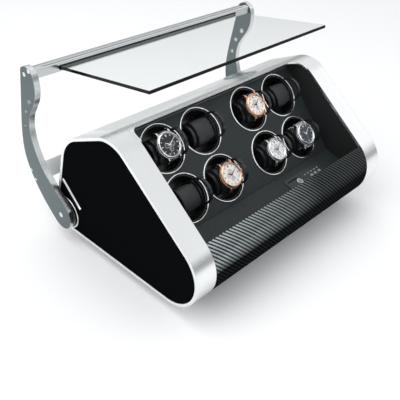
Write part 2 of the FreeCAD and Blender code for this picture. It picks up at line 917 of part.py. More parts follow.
def cup(name):
    """The turned cup with its spindle at the back and the belt pulley round its boss."""
    body = new_body(f"cup_{name}", ORIGIN_FRAME)
    row = name.split("_")[0]
    radius, wall, depth = num("cup_radius"), num("cup_wall"), num("cup_depth")
    spindle, back = num("spindle_radius"), num("pulley_back")
    front = back + num("pulley_width")
    profile = [(0.0, num("spindle_end")), (spindle, num("spindle_end")), (spindle, back)]
    profile += grooved_rim("rotor_belt_radius", [num(f"{row}_belt_level")], back, front)
    profile += [(BOSS_RADIUS, front), (BOSS_RADIUS, -depth), (radius, -depth)]
    inner = radius - wall
    profile += [(radius, RIM_LEVEL), (inner, RIM_LEVEL)]
    profile += [(inner, wall - depth), (0.0, wall - depth)]
    corner_radii = {(radius, -depth): 1.5, (radius, RIM_LEVEL): 0.7, (inner, RIM_LEVEL): 0.7}
    sketch = new_sketch(body, "XZ_Plane")
    draw(sketch, rounded_outline(profile, [corner_radii.get(point, 0.0) for point in profile]))
    revolve(body, sketch)
    return body


def hoop(name, level, low_x):
    """One hoop beside the cushion, standing on the cup's floor and trimmed to its round wall."""
    body = new_body(f"hoop_{name}", ORIGIN_FRAME)
    sketch = new_sketch(body, "YZ_Plane", low_x)
    draw(sketch, half_ring(level, num("cup_wall") - num("cup_depth") + TOUCH_GAP))
    pad(body, sketch, dim("hoop_width"))
    trim = new_sketch(body, "XY_Plane")
    draw_box(trim, -TRIM_REACH, -TRIM_REACH, TRIM_REACH, TRIM_REACH)
    draw_circle(trim, dim("cup_radius") - dim("cup_wall") - TOUCH_GAP)
    cut(body, trim)
    return body


def cushion_seat(name):
    """The block under the cushion, with an arched flange on each side of it."""
    body = new_body(f"seat_{name}", ORIGIN_FRAME)
    low = num("cup_wall") - num("cup_depth") + TOUCH_GAP
    top = num("cushion_back") - 0.2
    half = SEAT_HALF_HEIGHT
    inner = num("cushion_half_width") + 0.4
    block = new_sketch(body, "YZ_Plane")
    draw(block, polygon([(-half, low), (half, low), (half, top), (-half, top)]))
    pad(body, block, 2 * (inner + FLANGE_THICKNESS), middle=True)
    flange = crowned(
        num("cushion_half_height") + 0.5,
        top - 2.0,
        num("cushion_edge") + FLANGE_PROUD,
        num("cushion_crown") + FLANGE_PROUD,
    )
    for low_x in (inner, -inner - FLANGE_THICKNESS):
        sketch = new_sketch(body, "YZ_Plane", low_x)
        draw(sketch, flange)
        pad(body, sketch, FLANGE_THICKNESS)
    return body


def rotor(name, x, y):
    """A turning holder: the cup, its two hoops of different height, and the cushion's seat."""
    inner = num("hoop_inner_x")
    pieces = [
        cup(name),
        hoop(f"raised_{name}", num("raised_hoop_level"), inner),
        hoop(f"sunk_{name}", num("sunk_hoop_level"), 0.5 - inner - num("hoop_width")),
        cushion_seat(name),
    ]
    place = PANEL_FRAME.multiply(Placement(Vector(x, y, 0), Rotation()))
    return group(f"rotor_{name}", pieces, place)


def cushion(name, x, y):
    """The padded watch cushion, held between the rotor's two flanges."""
    place = PANEL_FRAME.multiply(Placement(Vector(x, y, 0), Rotation()))
    body = new_body(f"cushion_{name}", place)
    sketch = new_sketch(body, "YZ_Plane")
    draw(sketch, crowned(
        num("cushion_half_height"),
        num("cushion_back"),
        num("cushion_edge"),
        num("cushion_crown"),
    ))
    pad(body, sketch, dim("cushion_half_width") * 2, middle=True)
    return keep(body)


def motor_pulley(index, x, y):
    """Motor shaft with its double pulley, one groove for each rotor of the column."""
    place = PANEL_FRAME.multiply(Placement(Vector(x, y, 0), Rotation()))
    body = new_body(f"motor_pulley_{index}", place)
    shaft = num("motor_shaft_radius")
    end = num("plate_front") - num("plate_thickness") - 11.0
    back, front = num("pulley_back") - 0.5, num("pulley_back") + num("pulley_width") + 0.5
    levels = [num("upper_belt_level"), num("lower_belt_level")]
    profile = [(0.0, end), (shaft, end), (shaft, back)]
    profile += grooved_rim("motor_belt_radius", levels, back, front) + [(0.0, front)]
    sketch = new_sketch(body, "XZ_Plane")
    draw(sketch, polygon(profile))
    revolve(body, sketch)
    return keep(body)


WATCHES = {"upper_1": 21.5, "upper_3": 20.5, "lower_2": 21.5, "lower_3": 20.5, "lower_4": 21.0}
CASE_HEIGHT = 10.0
STRAP_HALF_WIDTH = 10.0
STRAP_THICKNESS = 2.4
CASE_STEP = 3.0
CROWN_RADIUS = 2.4
CROWN_LENGTH = 3.6


def strap_half(name, case_radius):
    """Half of a watch strap: from the case, over the cushion's end and down into the cup."""
    body = new_body(name, ORIGIN_FRAME)
    top = num("cushion_crown") + 3.4
    start = case_radius + 0.3
    outer = num("cushion_half_height") + 1.0 + STRAP_THICKNESS
    bend = outer - start
    low = num("cushion_back") + 1.0
    corners = [
        (outer - STRAP_THICKNESS, low),
        (outer, low),
        (outer + 0.8, top - 3.0),
        (start + bend * 0.45, top + STRAP_THICKNESS),
        (start, top + STRAP_THICKNESS),
        (start, top),
        (outer - STRAP_THICKNESS, top - 6.0),
    ]
    sketch = new_sketch(body, "YZ_Plane")
    draw(sketch, polygon(corners))
    pad(body, sketch, 2 * STRAP_HALF_WIDTH, middle=True)
    return body


def watch(name, x, y, case_radius):
    """A plain wristwatch on a cushion: case with crown, and the two halves of its strap."""
    base = num("cushion_crown") + FLANGE_PROUD + 0.3
    case = new_body(f"case_{name}", ORIGIN_FRAME)
    sketch = new_sketch(case, "XZ_Plane")
    top = base + CASE_HEIGHT
    inner = case_radius - CASE_STEP
    profile = [(0.0, base), (inner, base), (case_radius, base + CASE_STEP)]
    profile += [(case_radius, top - 2.0), (inner, top), (0.0, top)]
    draw(sketch, rounded_outline(profile, [0, 1.0, 1.0, 1.0, 0.8, 0]))
    revolve(case, sketch)
    crown_level = base + CASE_HEIGHT / 2
    crown = new_sketch(case, "YZ_Plane", case_radius - 1.0)
    draw_circle(crown, CROWN_RADIUS, 0.0, crown_level)
    pad(case, crown, CROWN_LENGTH)
    upper = strap_half(f"strap_{name}", case_radius)
    lower = doc.addObject("Part::Mirroring", f"strap_mirror_{name}")
    lower.Source = upper
    lower.Normal = Vector(0, 1, 0)
    frame = PANEL_FRAME.multiply(Placement(Vector(x, y, 0), Rotation()))
    return group(f"watch_{name}", [case, upper, lower], frame)


# ---------------------------------------------------------------------------------------------
# Electrics
# ---------------------------------------------------------------------------------------------

BOARD_X = (40.0, 150.0)
BOARD_Y = (-48.0, 12.0)
BOARD_Z = 30.0
BOARD_THICKNESS = 1.6
BOARD_OVERLAP = 0.1
# Each piece on the board: its name, its size and its near left corner (x, y).
BOARD_PIECES = [
    ("chip", (14.0, 14.0, 2.1), (70.0, -30.0)),
    ("driver", (10.0, 8.0, 2.1), (100.0, -30.0)),
    ("motor_plug", (60.0, 7.0, 6.1), (70.0, 2.0)),
    ("power_plug", (7.0, 14.0, 8.1), (140.0, -30.0)),
]
PILLAR_RADIUS = 3.0
PILLAR_X = (46.0, 144.0)
PILLAR_Y = (-42.0, -2.0)


def control_board():
    """Circuit board on pillars over the base plate, with its chips and connectors."""
    size = (BOARD_X[1] - BOARD_X[0], BOARD_Y[1] - BOARD_Y[0], BOARD_THICKNESS)
    solids = [box("board", size, Vector(BOARD_X[0], BOARD_Y[0], BOARD_Z))]
    top = BOARD_Z + BOARD_THICKNESS - BOARD_OVERLAP
    for name, piece_size, (x, y) in BOARD_PIECES:
        solids.append(box(name, piece_size, Vector(x, y, top)))
    foot = num("floor_gap") + num("cover_thickness") + TOUCH_GAP
    height = BOARD_Z + BOARD_OVERLAP - foot
    for x in PILLAR_X:
        for y in PILLAR_Y:
            solids.append(cylinder("pillar", PILLAR_RADIUS, height, Vector(x, y, foot)))
    return group("control_board", [fused("board_assembly", solids)])


def rear_wall_y(z):
    """The y of the box's rear face at a height."""
    (_, heel), (_, shoulder) = [(None, c) for c in body_corners()[1:3]]
    share = (z - heel[1]) / (shoulder[1] - heel[1])
    return heel[0] + (shoulder[0] - heel[0]) * share


# The socket from its mouth inwards, as (radius, depth): a pin inside a round shell.
SOCKET_PROFILE = [(1.0, -2.0), (1.0, 10.0), (3.2, 10.0), (3.2, -3.0), (6.2, -3.0)]
SOCKET_PROFILE += [(6.2, 14.0), (0.0, 14.0), (0.0, -2.0)]


def power_socket():
    """Round low-voltage inlet in the rear cover."""
    body = new_body("power_socket", Placement(
        Vector(SOCKET_X, rear_wall_y(SOCKET_Z) - 2.0, SOCKET_Z), Rotation(X_AXIS, 90)))
    sketch = new_sketch(body, "XZ_Plane")
    draw(sketch, polygon(SOCKET_PROFILE))
    revolve(body, sketch)
    return keep(body)


CABLE_RADIUS = 1.3


def cable(points):
    """A round cable along a smooth path."""
    path = Part.BSplineCurve()
    path.interpolate([Vector(*p) for p in points])
    wire = Part.Wire(path.toShape())
    start = path.value(path.FirstParameter)
    tangent = path.tangent(path.FirstParameter)[0]
    ring = Part.Wire(Part.makeCircle(CABLE_RADIUS, start, tangent))
    return wire.makePipeShell([ring], True, True)


# The first cable's start on the board, and how far each further cable moves along and up.
FIRST_PLUG_X = 78.0
PLUG_PITCH = 14.0
FIRST_CABLE_LEVEL = 62.0
CABLE_LIFT = 3.5
SUPPLY_CABLE = [(148.8, -23.0, 36.0), (158.0, 0.0, 36.0), (SOCKET_X, 80.0, 42.0)]


def wiring_loom():
    """Cables from the circuit board to the four motors and the power socket."""
    back = num("plate_front") - num("plate_thickness") - num("motor_length")
    solids = []
    for i, (x, y) in enumerate(motor_places()):
        end = PANEL_FRAME.multVec(Vector(x, y, back - 0.6))
        near = PANEL_FRAME.multVec(Vector(x, y, back - 12.0))
        plug = FIRST_PLUG_X + PLUG_PITCH * i
        level = FIRST_CABLE_LEVEL + CABLE_LIFT * i
        points = [(plug, 10.0, 35.0), (plug, 24.0, 40.0), ((plug + x) / 2, 48.0, level)]
        points += [tuple(near), tuple(end)]
        solids.append(cable(points))
    socket = (SOCKET_X, rear_wall_y(SOCKET_Z) - 17.0, SOCKET_Z)
    solids.append(cable(SUPPLY_CABLE + [socket]))
    loom = doc.addObject("Part::Feature", "wiring_loom")
    loom.Shape = Part.makeCompound(solids)
    loom.Label = "wiring_loom"
    return keep(loom)


# ---------------------------------------------------------------------------------------------
# Pivots, rails, top plate and screws on the box
# ---------------------------------------------------------------------------------------------


def side_frame(side, x):
    """A frame at the lid's pivot with its Z axis pointing away from the box."""
    sign = SIDES[side]
    turn = Rotation(Vector(0, 0, 1), Vector(sign, 0, 0))
    return Placement(Vector(sign * x, PIVOT.y, PIVOT.z), turn)


HUB_FACE = 237.1
HUB_BOSS = 238.8
HUB_DEPTH = 34.0


def pivot_hubs():
    """A disc with a barrel on each side that carries the lid's spindle."""
    hubs = []
    for side in SIDES:
        body = new_body("hub", side_frame(side, HALF_WIDTH + 0.1))
        bore = num("lid_spindle_radius") + num("running_clearance")
        barrel, disc = num("hub_barrel_radius"), num("hub_radius")
        face, boss = HUB_FACE - HALF_WIDTH - 0.1, HUB_BOSS - HALF_WIDTH - 0.1
        outline = [(bore, -HUB_DEPTH), (barrel, -HUB_DEPTH), (barrel, 0.0), (disc, 0.0)]
        outline += [(disc, face), (barrel - 1.0, face), (barrel - 1.0, boss), (bore, boss)]
        sketch = new_sketch(body, "XZ_Plane")
        draw(sketch, rounded_outline(outline, [0, 1.0, 0, 0.4, 0.9, 0, 0.4, 0]))
        revolve(body, sketch)
        hubs.append(body)
    return group("pivot_hubs", hubs)


RAIL_LOW = (88.0, 78.5)
RAIL_HIGH = (129.0, 116.7)
RAIL_HALF_WIDTH = 3.0
RAIL_HEIGHT = 3.2


def arm_stop_rails():
    """A bright straight bar on each side panel, beside the pivot."""
    rails = []
    low, high = Vector(*RAIL_LOW, 0), Vector(*RAIL_HIGH, 0)
    along = (high - low).normalize()
    across = Vector(-along.y, along.x, 0) * RAIL_HALF_WIDTH
    ends = [low - across, high - across, high + across, low + across]
    corners = [(p.x, p.y) for p in ends]
    base = HALF_WIDTH - num("side_panel_recess") + 0.03
    for sign in SIDES.values():
        body = new_body("rail", ORIGIN_FRAME)
        start = base if sign > 0 else -base - RAIL_HEIGHT
        sketch = new_sketch(body, "YZ_Plane", start)
        draw(sketch, rounded_outline(corners, [0.8] * 4))
        pad(body, sketch, RAIL_HEIGHT)
        rails.append(body)
    return group("arm_stop_rails", rails)


def top_face_frame():
    """A frame on the flat top face, half way along it, with its Z axis along the normal."""
    corners = body_corners()
    shoulder, apex = corners[2], corners[3]
    fall = math.degrees(math.atan2(apex[1] - shoulder[1], shoulder[0] - apex[0]))
    middle = Vector(0, (shoulder[0] + apex[0]) / 2, (shoulder[1] + apex[1]) / 2)
    return Placement(middle, Rotation(X_AXIS, -fall))


TOP_PLATE_X = 101.0
TOP_PLATE_HALF_SIZE = (17.0, 30.0)
TOP_PLATE_CORNER = 9.0
TOP_PLATE_THICKNESS = 1.4
# The plate's holes as (radius, y).
TOP_PLATE_HOLES = [(2.6, -16.0), (2.6, 1.0), (1.9, 16.0)]


def top_plate():
    """Rounded plate with three small holes on the top cover, near the right-hand end."""
    body = new_body("top_plate", top_face_frame())
    half_x, half_y = TOP_PLATE_HALF_SIZE
    sketch = new_sketch(body, "XY_Plane", 0.04)
    corners = [(TOP_PLATE_X - half_x, -half_y), (TOP_PLATE_X + half_x, -half_y)]
    corners += [(TOP_PLATE_X + half_x, half_y), (TOP_PLATE_X - half_x, half_y)]
    draw(sketch, rounded_outline(corners, [TOP_PLATE_CORNER] * 4))
    pad(body, sketch, TOP_PLATE_THICKNESS)
    holes = new_sketch(body, "XY_Plane")
    for radius, y in TOP_PLATE_HOLES:
        draw_circle(holes, radius, TOP_PLATE_X, y)
    cut(body, holes)
    return keep(body)


def screw(name, place, axis, shank_radius, shank_length, head_radius, head_height):
    """A pan-head screw whose head sits on place and whose shank runs back along axis."""
    outward = Vector(axis).normalize()
    head = cylinder(f"{name}_head", head_radius, head_height, place, outward)
    overlap = min(0.5, head_height / 2)
    start = place - outward * shank_length
    shank = cylinder(f"{name}_shank", shank_radius, shank_length + overlap, start, outward)
    return fused(name, [head, shank])


COVER_HEAD_RADIUS = 3.2
COVER_HEAD_HEIGHT = 1.4
REAR_SCREW_X = (-185.0, -62.0, 62.0, 185.0)
REAR_SCREW_Z = (34.0, 145.0)
BASE_SCREW_X = (-150.0, 0.0, 150.0)
BASE_SCREW_INSET = 8.0


def body_screws():
    """Heads of the screws that hold the rear cover and the base plate."""
    heads = []
    corners = body_corners()
    heel, shoulder = corners[1], corners[2]
    along = Vector(0, shoulder[0] - heel[0], shoulder[1] - heel[1]).normalize()
    outward = Vector(0, along.z, -along.y)
    places = []
    for x in REAR_SCREW_X:
        for z in REAR_SCREW_Z:
            places.append((Vector(x, rear_wall_y(z), z) + outward * TOUCH_GAP, outward))
    down = Vector(0, 0, -1)
    for x in BASE_SCREW_X:
        for y in (num("base_front_y") + BASE_SCREW_INSET, num("base_back_y") - BASE_SCREW_INSET):
            places.append((Vector(x, y, num("floor_gap") - TOUCH_GAP), down))
    for place, axis in places:
        head = cylinder("cover_screw", COVER_HEAD_RADIUS, COVER_HEAD_HEIGHT, place, axis)
        heads.append(head)
    return group("body_screws", heads)


# ---------------------------------------------------------------------------------------------
# Lid
# ---------------------------------------------------------------------------------------------

# The arm's edges, as (y, z) from the pivot, from the round end up to the head.
ARM_FRONT_EDGE = [(-17.5, 17.9), (14.0, 45.5), (39.0, 69.0), (56.5, 101.0), (62.0, 134.0)]
ARM_FRONT_EDGE += [(56.0, 157.0), (38.5, 185.0), (32.0, 208.0), (36.0, 230.0)]
ARM_REAR_EDGE = [(65.0, 231.0), (68.5, 212.0), (80.0, 155.0), (87.0, 110.0), (86.0, 77.0)]
ARM_REAR_EDGE += [(72.0, 42.5), (48.0, 10.0), (18.5, -16.8)]
ARM_CROWN = (46.0, 237.0)
ARM_HOLES = [(52.5, 181.5, 4.7), (65.9, 160.1, 4.1), (73.3, 133.9, 3.7)]
BAR_SCREWS = [(2.5, 9.2), (16.5, 2.5)]
CROSSBAR_CENTRE = (69.6, 44.4)
CROSSBAR_LEAN = 55.0
CROSSBAR_SCREW_OFFSET = 8.5
SINK_DEPTH = 2.0
SPINDLE_SOCKET_DEPTH = 7.0
# Each kind of lid screw: shank radius and length, head radius and height, and the radii of
# the arm's hole and of the sink round the head.
BAR_SCREW = {"shank": 2.0, "length": 22.0, "head": 3.5, "height": 1.8, "hole": 2.1, "sink": 3.7}
TIE_SCREW = {"shank": 1.5, "length": 20.0, "head": 2.5, "height": 1.8, "hole": 1.6, "sink": 2.7}
AXLE_SCREW = {"shank": 2.45, "length": 9.0, "head": 4.5, "height": 2.4, "hole": 2.6, "sink": 4.7}


def bar_screw_places():
    """The bar screws' places as (y, z) from the pivot."""
    places = [GLASS_FRAME.multVec(Vector(0, y, z)) - PIVOT for y, z in BAR_SCREWS]
    return [(p.y, p.z) for p in places]


def crossbar_screw_places():
    """The crossbar screws' places as (y, z) from the pivot."""
    lean = math.radians(CROSSBAR_LEAN)
    y, z = CROSSBAR_CENTRE
    shift = (CROSSBAR_SCREW_OFFSET * math.cos(lean), CROSSBAR_SCREW_OFFSET * math.sin(lean))
    return [(y + sign * shift[0], z + sign * shift[1]) for sign in (-1, 1)]


def lid_screw_kinds():
    """Every screw through an arm, as its kind and its place (y, z) from the pivot."""
    kinds = [(BAR_SCREW, place) for place in bar_screw_places()]
    kinds += [(TIE_SCREW, place) for place in crossbar_screw_places()]
    return kinds + [(AXLE_SCREW, (0.0, 0.0))]


def lid_arm(side):
    """A curved flat arm with a round lower end, a necked upper part and a broad head."""
    sign = SIDES[side]
    inner, thickness = num("arm_inner_x"), num("arm_thickness")
    low = inner if sign > 0 else -inner - thickness
    body = new_body(f"{side}_lid_arm", PIVOT_FRAME)
    outline = new_sketch(body, "YZ_Plane", low)
    end_radius = num("arm_end_radius")
    draw(outline, [
        ("curve", *ARM_FRONT_EDGE),
        ("arc", ARM_FRONT_EDGE[-1], ARM_CROWN, ARM_REAR_EDGE[0]),
        ("curve", *ARM_REAR_EDGE),
        ("arc", ARM_REAR_EDGE[-1], (-end_radius * 0.3, -end_radius * 0.954), ARM_FRONT_EDGE[0]),
    ])
    pad(body, outline, dim("arm_thickness"))
    through = new_sketch(body, "YZ_Plane", low)
    for y, z, radius in ARM_HOLES:
        draw_circle(through, radius, y, z)
    for kind, (y, z) in lid_screw_kinds():
        draw_circle(through, kind["hole"], y, z)
    cut(body, through)
    inside_sketch = new_sketch(body, "YZ_Plane", sign * inner)
    draw_circle(inside_sketch, dim("lid_spindle_radius") + 0.02)
    cut(body, inside_sketch, SPINDLE_SOCKET_DEPTH, reverse=sign < 0)
    sinks = new_sketch(body, "YZ_Plane", sign * (inner + thickness))
    for kind, (y, z) in lid_screw_kinds():
        draw_circle(sinks, kind["sink"], y, z)
    cut(body, sinks, SINK_DEPTH, reverse=sign > 0)
    return keep(body)


BAR_FRONT = -1.5
BAR_SECTION = [(BAR_FRONT, -3.1), (22.0, -4.6), (22.0, 10.2), (4.5, 12.4), (BAR_FRONT, 9.4)]
BAR_CORNERS = [0.8, 1.5, 3.0, 5.0, 1.5]
BAR_PORT_RADIUS = 2.05
BAR_SLOT = (-1.0, 6.0)
SLOT_DEPTH = 11.2
SLOT_START = -4.0
CROSSBAR_PORT_RADIUS = 1.55


def top_bar():
    """Extruded bar between the arms' heads, with the slot that grips the glass."""
    body = new_body("top_bar", GLASS_FRAME)
    outline = new_sketch(body, "YZ_Plane")
    draw(outline, rounded_outline(BAR_SECTION, BAR_CORNERS))
    length = 2 * (num("arm_inner_x") - 0.03)
    pad(body, outline, length, middle=True)
    slot = new_sketch(body, "YZ_Plane")
    low, high = BAR_SLOT
    corners = [(SLOT_START, low), (SLOT_DEPTH, low), (SLOT_DEPTH, high), (SLOT_START, high)]
    draw(slot, polygon(corners))
    glass_end = num("glass_half_width") + 1.2
    feature = cut(body, slot, 2 * glass_end)
    feature.Midplane = True
    ports = new_sketch(body, "YZ_Plane")
    for y, z in BAR_SCREWS:
        draw_circle(ports, BAR_PORT_RADIUS, y, z)
    cut(body, ports)
    return keep(body)


def glass_pane():
    """Clear flat pane held by its rear edge."""
    body = new_body("glass_pane", GLASS_FRAME)
    sketch = new_sketch(body, "XY_Plane")
    half = dim("glass_half_width")
    draw_box(sketch, -half, -dim("glass_depth"), half, dim("glass_grip"))
    pad(body, sketch, dim("glass_thickness"))
    return keep(body)


def glass_gasket():
    """Black channel gasket between the glass and the bar's slot."""
    body = new_body("glass_gasket", GLASS_FRAME)
    gap, front = 0.03, BAR_FRONT - 0.8
    low, high = BAR_SLOT[0] + gap, BAR_SLOT[1] - gap
    back, grip = SLOT_DEPTH - gap, num("glass_grip") + gap
    glass = num("glass_thickness") + gap
    section = [(front, low), (back, low), (back, high), (front, high), (front, glass)]
    section += [(grip, glass), (grip, -gap), (front, -gap)]
    sketch = new_sketch(body, "YZ_Plane")
    draw(sketch, polygon(section))
    pad(body, sketch, 2 * (num("glass_half_width") + 1.0), middle=True)
    return keep(body)


def rear_crossbar():
    """Flat bar that ties the two arms together behind the box."""
    place = Placement(PIVOT + Vector(0, *CROSSBAR_CENTRE), Rotation(X_AXIS, CROSSBAR_LEAN))
    body = new_body("rear_crossbar", place)
    half, thick = num("crossbar_height") / 2, num("crossbar_thickness") / 2
    sketch = new_sketch(body, "YZ_Plane")
    corners = [(-half, -thick), (half, -thick), (half, thick), (-half, thick)]
    draw(sketch, rounded_outline(corners, [0.8] * 4))
    pad(body, sketch, 2 * (num("arm_inner_x") - 0.03), middle=True)
    ports = new_sketch(body, "YZ_Plane")
    for y in (-CROSSBAR_SCREW_OFFSET, CROSSBAR_SCREW_OFFSET):
        draw_circle(ports, CROSSBAR_PORT_RADIUS, y, 0.0)
    cut(body, ports)
    return keep(body)


def lid_screws():
    """Screws through the arms into the top bar, the crossbar and the spindles."""
    screws = []
    outer = num("arm_inner_x") + num("arm_thickness")
    seat = outer - SINK_DEPTH + TOUCH_GAP
    for sign in SIDES.values():
        axis = Vector(sign, 0, 0)
        for kind, (y, z) in lid_screw_kinds():
            place = Vector(sign * seat, PIVOT.y + y, PIVOT.z + z)
            head, height = kind["head"], kind["height"]
            whole = screw("lid_screw", place, axis, kind["shank"], kind["length"], head, height)
            socket = cylinder("socket", head / 2, height, place + axis * (height / 2), axis)
            screws.append(minus("lid_screw_cut", whole, socket))
    return group("lid_screws", screws)


SPINDLE_SEAT = 6.9
SPINDLE_REACH = 32.0
SPINDLE_TAP_RADIUS = 2.5
SPINDLE_TAP_DEPTH = 9.0


def pivot_spindles():
    """A steel spindle pressed into each arm, turning in the hub's barrel."""
    spindles = []
    outer = num("arm_inner_x") + SPINDLE_SEAT
    inner = HALF_WIDTH - SPINDLE_REACH
    radius = num("lid_spindle_radius")
    for sign in SIDES.values():
        axis = Vector(sign, 0, 0)
        start = Vector(sign * inner, PIVOT.y, PIVOT.z)
        shaft = cylinder("spindle_shaft", radius, outer - inner, start, axis)
        tapped = Vector(sign * (outer - SPINDLE_TAP_DEPTH), PIVOT.y, PIVOT.z)
        bore = cylinder("spindle_bore", SPINDLE_TAP_RADIUS, 2 * SPINDLE_TAP_DEPTH, tapped, axis)
        spindles.append(minus("spindle", shaft, bore))
    return group("pivot_spindles", spindles)


# ---------------------------------------------------------------------------------------------
# The whole box
# ---------------------------------------------------------------------------------------------

for one_side in SIDES:
    end_frame(one_side)
    lid_arm(one_side)
for make in (
    side_panels,
    bulkheads,
    top_cover,
    rear_cover,
    front_apron,
    base_plate,
    rubber_feet,
    rotor_panel,
    ledge_panel,
    control_panel,
    program_button,
    bezel_rings,
    drive_plate,
    rotor_bushes,
    panel_standoffs,
    drive_motors,
    drive_belts,
    control_board,
    power_socket,
    wiring_loom,
    pivot_hubs,
    arm_stop_rails,
    top_plate,
    body_screws,
    top_bar,
    glass_pane,
    glass_gasket,
    rear_crossbar,
    lid_screws,
    pivot_spindles,
):
    make()

for rotor_name, rotor_x, rotor_y in rotor_places():
    rotor(rotor_name, rotor_x, rotor_y)
    cushion(rotor_name, rotor_x, rotor_y)
    if rotor_name in WATCHES:
        watch(rotor_name, rotor_x, rotor_y, WATCHES[rotor_name])
for number, (motor_x, motor_y) in enumerate(motor_places(), start=1):
    motor_pulley(number, motor_x, motor_y)

doc.recompute()

problems = []
for thing in doc.Objects:
    if "Invalid" in thing.State or "Error" in thing.State:
        problems.append(f"{thing.Label} is {thing.State}")
for part in ALL_SUBPARTS:
    shape = part.Shape
    if shape.isNull() or not shape.isValid() or not shape.Solids:
        problems.append(f"{part.Label} has no valid shape")
if problems:
    raise RuntimeError("; ".join(problems))

os.makedirs("parts", exist_ok=True)
for part in ALL_SUBPARTS:
    part.Shape.exportStep(os.path.join("parts", f"{part.Label}.step"))
print(f"{len(ALL_SUBPARTS)} sub-parts written")
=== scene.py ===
"""Looks of the eight-place watch winder box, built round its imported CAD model.

Lengths in the builders are millimetres in a piece's own frame, and meshes are made in metres in
the row frame: +X to the right, +Y to the back, +Z up.
"""

import math

import bmesh
import bpy
from mathutils import Matrix, Vector
from mathutils.bvhtree import BVHTree


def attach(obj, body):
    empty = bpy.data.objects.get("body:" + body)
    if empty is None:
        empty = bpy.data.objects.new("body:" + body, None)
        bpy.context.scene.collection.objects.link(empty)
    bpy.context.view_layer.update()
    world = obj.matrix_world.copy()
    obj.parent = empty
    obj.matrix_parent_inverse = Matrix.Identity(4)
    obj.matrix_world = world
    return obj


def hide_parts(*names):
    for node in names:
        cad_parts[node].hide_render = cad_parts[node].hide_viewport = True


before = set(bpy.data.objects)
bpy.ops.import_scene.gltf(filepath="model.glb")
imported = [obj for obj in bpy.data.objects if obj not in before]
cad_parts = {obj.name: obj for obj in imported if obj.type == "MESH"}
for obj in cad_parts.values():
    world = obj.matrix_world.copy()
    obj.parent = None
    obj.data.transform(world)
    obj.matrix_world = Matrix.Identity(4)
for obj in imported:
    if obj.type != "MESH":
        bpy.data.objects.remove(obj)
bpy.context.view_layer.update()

MM = 0.001

# ---------------------------------------------------------------------------------------------
# Frames shared with the CAD model, in millimetres
# ---------------------------------------------------------------------------------------------

DATUM_LEAD = 23.8
PANEL_ANGLE = 49.0
ROW_PITCH = 82.5
COLUMNS = (-140.0, -58.0, 58.0, 140.0)
ROWS = {"upper": 0.0, "lower": -ROW_PITCH}
PIVOT = Vector((0.0, 127.0 - DATUM_LEAD, 53.0))
NOSE = Vector((0.0, -107.0 - DATUM_LEAD, 79.0))
NOSE_RADIUS = 60.0
GLASS_TILT = 8.46
LEDGE_ANGLE = 16.0
PANEL_FOLD = -126.7


def placed(origin, angle):
    """A frame at origin, in millimetres, turned about X by angle in degrees."""
    shift = Matrix.Translation(Vector(origin) * MM)
    return shift @ Matrix.Rotation(math.radians(angle), 4, "X")


PANEL = placed((0.0, 3.6 - DATUM_LEAD, 188.1), PANEL_ANGLE)
LEDGE = placed((PANEL @ (Vector((0.0, PANEL_FOLD, 0.0)) * MM)) / MM, LEDGE_ANGLE)
GLASS = placed((0.0, 166.5 - DATUM_LEAD, 277.1), -GLASS_TILT)
ROW_FRAME = Matrix.Identity(4)


def holder(name):
    """The frame of one watch place: x across, y up the panel, z out of it."""
    row, column = name.split("_")
    centre = Vector((COLUMNS[int(column) - 1], ROWS[row], 0.0))
    return PANEL @ Matrix.Translation(centre * MM)


PLACES = [f"{row}_{column}" for row in ROWS for column in range(1, 5)]


# ---------------------------------------------------------------------------------------------
# Node materials
# ---------------------------------------------------------------------------------------------


